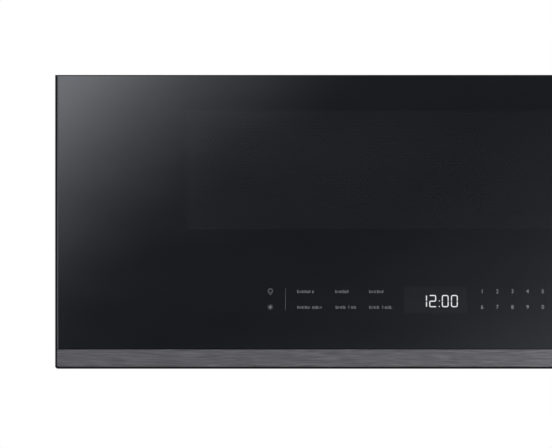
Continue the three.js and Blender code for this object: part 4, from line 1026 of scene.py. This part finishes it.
def window_screen():
    """The choke panel with its window cut out, and the perforated sheet that fills it."""
    face_y = in_mm("choke_panel")[0][1]
    window = bmesh.new()
    block(window, (PANE_LOW[0], face_y - 5, PANE_LOW[2]), (PANE_HIGH[0], face_y + 5, PANE_HIGH[2]))
    work = cut_away(merged("choke_panel"), window)
    folds = [e for e in sharp_edges(work) if min(v.co.y for v in e.verts) < (face_y + 0.5) * MM]
    round_off(work, folds, 0.8, 3)
    stand_in("choke_panel", work)
    # Holes of 2.4 mm at 3.4 mm centres; the real sheet's are about half that, too fine to show.
    pitch, hole, thick = 3.4, 2.4, 0.5
    row = pitch * math.sqrt(3) / 2
    outline, opening = [polygon(r, 6, math.pi / 6) for r in (pitch / math.sqrt(3), hole / 2)]
    cell = ring_cell("screen_cell", outline, opening, thick)
    columns = int((PANE_HIGH[0] - PANE_LOW[0]) / pitch)
    rows = int((PANE_HIGH[2] - PANE_LOW[2]) / row)
    sheet = lattice(cell, columns, rows, pitch, row, finishes["painted_steel"])
    middle_x = (PANE_LOW[0] + PANE_HIGH[0]) / 2
    middle_h = (PANE_LOW[2] + PANE_HIGH[2]) / 2
    stand = Matrix.Translation(spot(middle_x, face_y + thick, middle_h))
    sheet.transform(stand @ Matrix.Rotation(math.radians(90), 4, "X"))
    place("window_screen", sheet, "door", "painted_steel", smooth=30)


door_glass()
clock()
touch_marks()
window_screen()
trim_strip = soften("trim_strip", 0.25)
soften("door_bezel", 0.15, 1)
soften("door_inner_panel", 0.5)
lets_light_through(soften("inner_window", 0.5))
soften("latch_hooks", 0.5)
latch_spring = soften("latch_spring", 0.12, 1)
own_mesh(latch_spring)


# ---------------------------------------------------------------- the case


CASE_HIGH = in_mm("outer_wrap")[1]
SCREW_EDGE = 14  # from the case's back edge to its screws
SIDE_SCREW_HEIGHTS = (30, 110, 200)
FRONT_SCREW_Y = -410
FOLD_X, FOLD_Z = 0.376, 0.129  # beyond which the case has only its top folds, in metres


def at_top_fold(edge):
    """Whether an edge is one of the folds between the top and a side."""
    return along(edge, 1) and all(v.co.z > FOLD_Z and abs(v.co.x) > FOLD_X for v in edge.verts)


def case_screws():
    """Hex-washer screws round the case's edges, at the places such a case has them."""
    places = []
    for x, aim in ((-CASE_HIGH[0], LEFT), (CASE_HIGH[0], RIGHT)):
        for height in SIDE_SCREW_HEIGHTS:
            places += [((x, y, height), aim) for y in (-SCREW_EDGE, FRONT_SCREW_Y)]
        places.append(((x, -230, 9), aim))
    places += [((x, -SCREW_EDGE, CASE_HIGH[2]), UP) for x in (-330, -165, 0, 165, 330)]
    copies("case_screws", HEX_SCREW, places, "chassis", "dark_steel", finishes["stainless"])


def rear_screws():
    """The screws of the rear panel, beside the wall plate."""
    back = in_mm("rear_panel")[1][1]
    spots = [(x, height) for x in (-360, 360) for height in (20, 90, 170, 240)]
    spots += [(x, height) for x in (-260, -130, 0, 130, 260) for height in (12, 250)]
    places = [((x, back, height), BACK) for x, height in spots]
    copies("rear_screws", HEX_SCREW, places, "chassis", "zinc_steel", black_oxide, 0.75)


def bores(spots, radius_mm, depth_mm, sides, along_y=False):
    """Round cutters at points in millimetres, upright or along y."""
    work = bmesh.new()
    turn = Matrix.Rotation(math.radians(90), 4, "X") if along_y else Matrix.Identity(4)
    for point in spots:
        plug(work, radius_mm, depth_mm, sides, Matrix.Translation(spot(*point)) @ turn)
    return work


def wall_plate():
    """The wall plate, with two rows of spare holes so that screws can meet the wall's studs."""
    low, high = in_mm("wall_plate")
    inset, pitch, radius = 14, 20.5, 3
    rows = (low[2] + inset, high[2] - inset)
    spots = [(pitch * step, high[1], height) for height in rows for step in range(-15, 16)]
    cutters = bores(spots, radius, 2 * (high[1] - low[1]), 16, along_y=True)
    soften("wall_plate", 0, work=cut_away(merged("wall_plate"), cutters))


def base_pan():
    """The underside's pan, with a screw sunk in a dimple at each place along its edges."""
    dimple_radius, dimple_height = 4.4, 1.2
    spots = [(x, y, 0) for x in (-350, -175, 0, 175, 350) for y in (-412, -16)]
    spots += [(x, y, 0) for x in (-364, 364) for y in (-290, -100)]
    rounded = merged("base_pan")
    round_off(rounded, sharp_edges(rounded), 0.3, 2)
    soften("base_pan", 0, work=cut_away(rounded, bores(spots, dimple_radius, 4, 20)))
    places = [((x, y, dimple_height), DOWN) for x, y, _ in spots]
    copies("pan_dimples", DIMPLE, places, "chassis", "painted_steel")
    copies("pan_screws", SUNK_SCREW, places, "chassis", "painted_steel", finishes["stainless"])


soften("outer_wrap", 0.3, folds=[(at_top_fold, 1.1)])
soften("front_frame", 0.3)
soften("vent_grille", 0.3, 1)
wall_plate()
# The rear panel takes the darker galvanised tone, painted shade behind the wall plate.
soften("rear_panel", 0.3, 1, finish=shade_darkened_zinc)
base_pan()
soften("cord_bushing", 0.5)
soften("hinge_upper", 0.3)
soften("hinge_lower", 0.3)
case_screws()
rear_screws()


# ---------------------------------------------------------------- the underside


def filter_layers(word):
    """Two crossed layers of pleated expanded aluminium in a filter's frame."""
    low, high = in_mm(f"filter_mesh_{word}")
    long_way, short_way, open_share, thick = 9.0, 4.6, 0.77, 0.5
    pleat, pleat_length = 0.7, 22.0
    row = short_way / 2
    outline = [(long_way / 2, 0), (0, row), (-long_way / 2, 0), (0, -row)]
    opening = [(x * open_share, y * open_share) for x, y in outline]
    cell = ring_cell("expanded_cell", outline, opening, thick)
    columns = int((high[0] - low[0]) / long_way) - 1
    rows = int((high[1] - low[1]) / row) - 1
    layers = bmesh.new()
    for height, rise in ((low[2] + 1.6, pleat), (low[2] + 3.8, -pleat)):
        sheet = lattice(cell, columns, rows, long_way, row, finishes["aluminium"], rise, pleat_length)
        middle = spot((low[0] + high[0]) / 2, (low[1] + high[1]) / 2, height)
        sheet.transform(Matrix.Translation(middle))
        layers.from_mesh(sheet)
    stand_in(f"filter_mesh_{word}", layers, smooth=25)
    soften(f"filter_frame_{word}")


def lamp_lens(word):
    """A frosted lens with ribs that spread its light, and the lip that holds it in the pan."""
    low, high = in_mm(f"lamp_lens_{word}")
    lip, ribs, shoulder = 4.0, 19, 2.0
    y0, y1 = low[1] + lip, high[1] - lip
    pitch = (y1 - y0) / ribs
    profile = [(y0, shoulder)]
    for index in range(ribs):
        start = y0 + index * pitch
        for share, height in ((0, 0.5), (0.25, 0.12), (0.5, 0.0), (0.75, 0.12)):
            profile.append((start + share * pitch, height))
    profile += [(y1, 0.5), (y1, shoulder)]
    work = bmesh.new()
    between_ends(work, [[spot(x, y, up) for y, up in profile] for x in (low[0] + lip, high[0] - lip)])
    block(work, (low[0], low[1], 1.5), high, 0.4)
    stand_in(f"lamp_lens_{word}", work)


for word in ("left", "right"):
    filter_layers(word)
    lamp_lens(word)


# ---------------------------------------------------------------- the cavity and the turntable


def inside_corner(edge):
    """Whether an edge is one of the cavity liner's long corners, inside or outside."""
    low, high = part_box("cavity")
    near = 1.5 * MM
    run = edge.verts[1].co - edge.verts[0].co
    if run.length < 0.1:
        return False
    for vert in edge.verts:
        at_x = min(abs(vert.co.x - low.x), abs(vert.co.x - high.x)) < near
        at_z = min(abs(vert.co.z - low.z), abs(vert.co.z - high.z)) < near
        at_y = abs(vert.co.y - high.y) < near
        if at_x + at_y + at_z < 2:
            return False
    return True


def glass_tray():
    """The pressed glass tray, with a rolled rim, two rings in its floor, and the coupler's ribs below."""
    low, high = in_mm("glass_tray")
    centre = ((low[0] + high[0]) / 2, (low[1] + high[1]) / 2)
    radius = (high[0] - low[0]) / 2
    base = high[2] - 12
    # From the underside round the rolled rim and in to the floor, as (inset from the edge, height)
    under = [(16, 0), (13.5, 0.5), (11, 1.8), (5.2, 6.9), (3.4, 8.0), (0.9, 8.2), (0, 9.1), (0, 10.8)]
    over = [(0.6, 11.7), (1.6, 12), (4.2, 12), (5.4, 11.5), (6.6, 10.6), (14.2, 4.9), (16, 4.1), (18.5, 4)]
    rings = [(100.4, 4), (100, 3.7), (99.6, 4), (60.4, 4), (60, 3.7), (59.6, 4)]
    outline = [(0, 0), *((radius - inset, up) for inset, up in under + over), *rings, (0, 4)]
    work = bmesh.new()
    lathe(work, [(r, base + up) for r, up in outline], centre, 144)
    lets_light_through(stand_in("glass_tray", work))
    ribs = bmesh.new()
    for index in range(3):
        turn = math.radians((index + 0.5) * 120)
        one = bmesh.new()
        block(one, (14.2, -3, HALF_HEIGHT - 5), (28, 3, HALF_HEIGHT - 0.05), 1.2, 3)
        one.transform(Matrix.Translation(spot(*centre, base)) @ Matrix.Rotation(turn, 4, "Z"))
        ribs.from_mesh(to_mesh(one, "rib"))
    lets_light_through(place("glass_tray_ribs", ribs, "tray", "clear_glass"))


def cavity_vents():
    """Two patches of thin dark discs on the cavity's walls, painted shade that stands for small round holes,
    for air and for the cavity's lamp.
    """
    low, high = in_mm("cavity")
    thin = 0.12
    hole = bmesh.new()
    plug(hole, 1.5, thin, 12)
    step_y, step_h = 5, 4.3
    places = []
    for column in range(13):
        for row in range(7):
            y = step_y * column + step_y / 2 * (row % 2)
            places.append(((high[0] - 1, y - 395, 200 + step_h * row), LEFT))
            places.append(((low[0] + 1, y - 205, 205 + step_h * row), RIGHT))
    shape = loose("vent_hole", hole)
    # The charcoal finish's near-black is painted shade: the dark of the holes' insides, laid on the enamel as
    # thin discs.
    copies("cavity_vents", shape, places, "chassis", "enamel", finishes["charcoal"])


soften("cavity", 0.25, 1, [(inside_corner, 5.0)])
glass_tray()
cavity_vents()
soften("roller_ring", 0.5)
soften("drive_coupler", 0.6)
for index in (1, 2, 3):
    soften(f"roller_{index}", 0.6)


# ---------------------------------------------------------------- floor, lights, camera


CAMERA = Vector((-0.1826, -5.9318, -0.0019))
SCALE = 0.8915 * MM  # metres on the glass for one pixel of the photograph
FLOOR_Z = -0.4
WHITE = (1, 1, 1, 1)


def studio_sheet(name, corners, finish):
    """A flat sheet of the studio, not of the oven."""
    mesh = bpy.data.meshes.new(name)
    mesh.from_pydata(corners, [], [(0, 1, 2, 3)])
    mesh.materials.append(finish)
    thing = in_scene(name, mesh)
    return thing


def studio_floor():
    """A plain pale floor under the hanging oven, seen through from below."""
    pale = bpy.data.materials.new("pale_floor")
    tree = bare_tree(pale)
    lift = 0.42  # what the floor glows by where the camera sees it, so that it nears the white behind
    in_view = add(tree, "ShaderNodeLightPath").outputs["Is Camera Ray"]
    strength = add(tree, "ShaderNodeMath", {0: in_view, 1: lift}, operation="MULTIPLY")
    diffuse = add(tree, "ShaderNodeBsdfDiffuse", {"Color": linear("#f1f1f0")})
    glow = add(tree, "ShaderNodeEmission", {"Color": WHITE, "Strength": strength})
    lit = add(tree, "ShaderNodeAddShader", {0: diffuse, 1: glow})
    clear = add(tree, "ShaderNodeBsdfTransparent")
    from_below = add(tree, "ShaderNodeNewGeometry").outputs["Backfacing"]
    both = add(tree, "ShaderNodeMixShader", {0: from_below, 1: lit, 2: clear})
    add(tree, "ShaderNodeOutputMaterial", {"Surface": both})
    left, right, front, back = -3.5, 3.5, -3.0, 2.5
    corners = [(left, front), (right, front), (right, back), (left, back)]
    studio_sheet("studio_floor", [(x, y, FLOOR_Z) for x, y in corners], pale)


def soft_light_card():
    """A large soft light in front of the oven, seen only in its gloss.

    It fades from its upper left corner, and rises a little at its lower right. Its own coordinates
    are turned into the place where the camera sees it in the glass, in pixels of 552 x 448.
    """
    glass_y = GLASS_LOW[1] * MM
    away = 5.6  # from the glass to the card, so that the camera sees it this much smaller in the glass
    stretch = 1 + away / (glass_y - CAMERA.y)
    reach_x, reach_z = 0.95 * stretch, 0.62 * stretch
    middle_x, middle_z = 276, 224  # of the picture
    glow = bpy.data.materials.new("soft_light_fade")
    tree = bare_tree(glow)
    lamp = add(tree, "ShaderNodeEmission")
    add(tree, "ShaderNodeOutputMaterial", {"Surface": lamp})
    on_card = add(tree, "ShaderNodeTexCoord").outputs["Object"]
    parts = add(tree, "ShaderNodeSeparateXYZ", {"Vector": on_card}).outputs
    pixels = []
    for axis, origin, centre, sign in (("X", CAMERA.x, middle_x, 1), ("Z", CAMERA.z, middle_z, -1)):
        offset = add(tree, "ShaderNodeMath", {0: parts[axis], 1: origin}, operation="SUBTRACT")
        scaled = {0: offset, 1: sign / (stretch * SCALE), 2: centre}
        pixels.append(add(tree, "ShaderNodeMath", scaled, operation="MULTIPLY_ADD"))
    across, down = pixels
    # Each fade: its slopes across and down from a pixel, the pixels it spans, its most and its bend
    bent = []
    for slope_x, x0, slope_y, y0, span, start, most, bend in (
        (1.0, 60, 1.27, 80, -350, 1.0, 1.02, 2.6),
        (0.8, 350, 1.0, 230, 212, 0.0, 6.0, 2.0),
    ):
        x_part, y_part = [
            add(tree, "ShaderNodeMath", {0: pixel, 1: slope, 2: -slope * zero}, operation="MULTIPLY_ADD")
            for pixel, slope, zero in ((across, slope_x, x0), (down, slope_y, y0))
        ]
        both = add(tree, "ShaderNodeMath", {0: x_part, 1: y_part}, operation="ADD")
        share = add(tree, "ShaderNodeMath", {0: both, 1: 1 / span, 2: start}, operation="MULTIPLY_ADD")
        held = add(tree, "ShaderNodeClamp", {"Value": share, "Min": 0.0, "Max": most})
        bent.append(add(tree, "ShaderNodeMath", {0: held, 1: bend}, operation="POWER"))
    bright, faint = 3.45, 0.29
    corner = add(tree, "ShaderNodeMath", {0: bent[0], 1: bright}, operation="MULTIPLY")
    strength = add(tree, "ShaderNodeMath", {0: bent[1], 1: faint, 2: corner}, operation="MULTIPLY_ADD")
    # Beyond the photograph's frame it fades out, so that no view mirrors its outline.
    for pixel, nothing, full in (
        (across, -500, -60),
        (across, 1300, 800),
        (down, -400, -20),
        (down, 900, 560),
    ):
        ends = {"Value": pixel, "From Min": nothing, "From Max": full}
        ramp = add(tree, "ShaderNodeMapRange", ends, interpolation_type="SMOOTHSTEP")
        strength = add(tree, "ShaderNodeMath", {0: strength, 1: ramp}, operation="MULTIPLY")
    feed(tree, lamp, {"Color": (0.97, 1.0, 1.08, 1), "Strength": strength})
    corners = [(-reach_x, reach_z), (reach_x, reach_z), (reach_x, -reach_z), (-reach_x, -reach_z)]
    places = [(CAMERA.x + x, glass_y - away, CAMERA.z + z) for x, z in corners]
    card = studio_sheet("soft_light_card", places, glow)
    card.visible_camera = False
    card.visible_diffuse = False
    card.visible_transmission = False
    card.visible_shadow = False
    card.visible_volume_scatter = False


def area_light(name, location, aim, size, watts):
    """A soft rectangular light aimed at a point."""
    light = bpy.data.lights.new(name, "AREA")
    light.shape = "RECTANGLE"
    light.size, light.size_y = size
    light.energy = watts
    lamp = in_scene(name, light)
    lamp.location = location
    lamp.rotation_euler = (Vector(aim) - Vector(location)).to_track_quat("-Z", "Y").to_euler()
    return lamp


def lights_only(lamp, piece):
    """Keeps a lamp to one piece."""
    lit = bpy.data.collections.new(f"lit_by_{lamp.name}")
    lit.objects.link(piece)
    lamp.light_linking.receiver_collection = lit


def studio_world():
    """White behind the oven, soft light from above, and a dark room in front of the glass."""
    world = bpy.data.worlds.new("studio_world")
    bpy.context.scene.world = world
    tree = bare_tree(world)
    rays = add(tree, "ShaderNodeLightPath").outputs
    direction = add(tree, "ShaderNodeTexCoord").outputs["Generated"]
    # Towards the front the room darkens, and upwards the light grows.
    shares = []
    for way, kind, start, end, low, high in (
        ((0, -1, 0), "SMOOTHERSTEP", 0.72, 0.98, 0.8, 0.12),
        ((0, 0, 1), "SMOOTHSTEP", -0.7, 0.9, 0.45, 1.25),
    ):
        facing = add(tree, "ShaderNodeVectorMath", {0: direction, 1: way}, operation="DOT_PRODUCT")
        ends = {"From Min": start, "From Max": end, "To Min": low, "To Max": high}
        ends["Value"] = facing.outputs["Value"]
        shares.append(add(tree, "ShaderNodeMapRange", ends, interpolation_type=kind))
    room, lift = shares
    passing = {0: rays["Is Camera Ray"], 1: rays["Is Transmission Ray"]}
    behind = add(tree, "ShaderNodeMath", passing, operation="MAXIMUM")
    soft = add(tree, "ShaderNodeMix", {0: rays["Is Glossy Ray"], 2: 0.55, 3: room}, data_type="FLOAT")
    graded = add(tree, "ShaderNodeMath", {0: soft, 1: lift}, operation="MULTIPLY")
    level = add(tree, "ShaderNodeMix", {0: behind, 2: graded, 3: 1.0}, data_type="FLOAT")
    shade = add(tree, "ShaderNodeBackground", {"Color": WHITE, "Strength": level})
    add(tree, "ShaderNodeOutputWorld", {"Surface": shade})


def camera():
    """A long lens straight on, at the distance where a pixel is 0.8915 mm on the glass."""
    lens = bpy.data.cameras.new("camera")
    lens.type = "PERSP"
    lens.lens = 400
    lens.sensor_width = 36
    lens.clip_start = 0.1
    lens.clip_end = 60
    eye = in_scene("camera", lens)
    eye.location = CAMERA
    eye.rotation_euler = (math.radians(90), 0, 0)
    bpy.context.scene.camera = eye


studio_floor()
soft_light_card()
FRONT_HALF = (0, -0.25, 0)
key_light = area_light("key_light", (-1.6, -2.6, 1.8), FRONT_HALF, (1.4, 1.4), 62)
fill_light = area_light("fill_light", (2.1, -1.7, 0.9), FRONT_HALF, (1.2, 1.2), 16)
for lamp in (key_light, fill_light):
    lamp.visible_glossy = False  # the glass would mirror their outlines
area_light("rear_light", (0.6, 2.4, 1.4), (0, -0.2, 0), (1.4, 1.4), 30)
area_light("side_light", (-1.7, -1.0, 0.3), (-0.38, -0.4, 0), (0.8, 0.8), 10)
low_light = area_light("low_light", (0.72, -1.3, -0.25), (0.32, -0.46, -0.12), (0.5, 0.3), 10)
lights_only(low_light, trim_strip)
studio_world()
camera()

bpy.context.scene.view_settings.view_transform = "Standard"
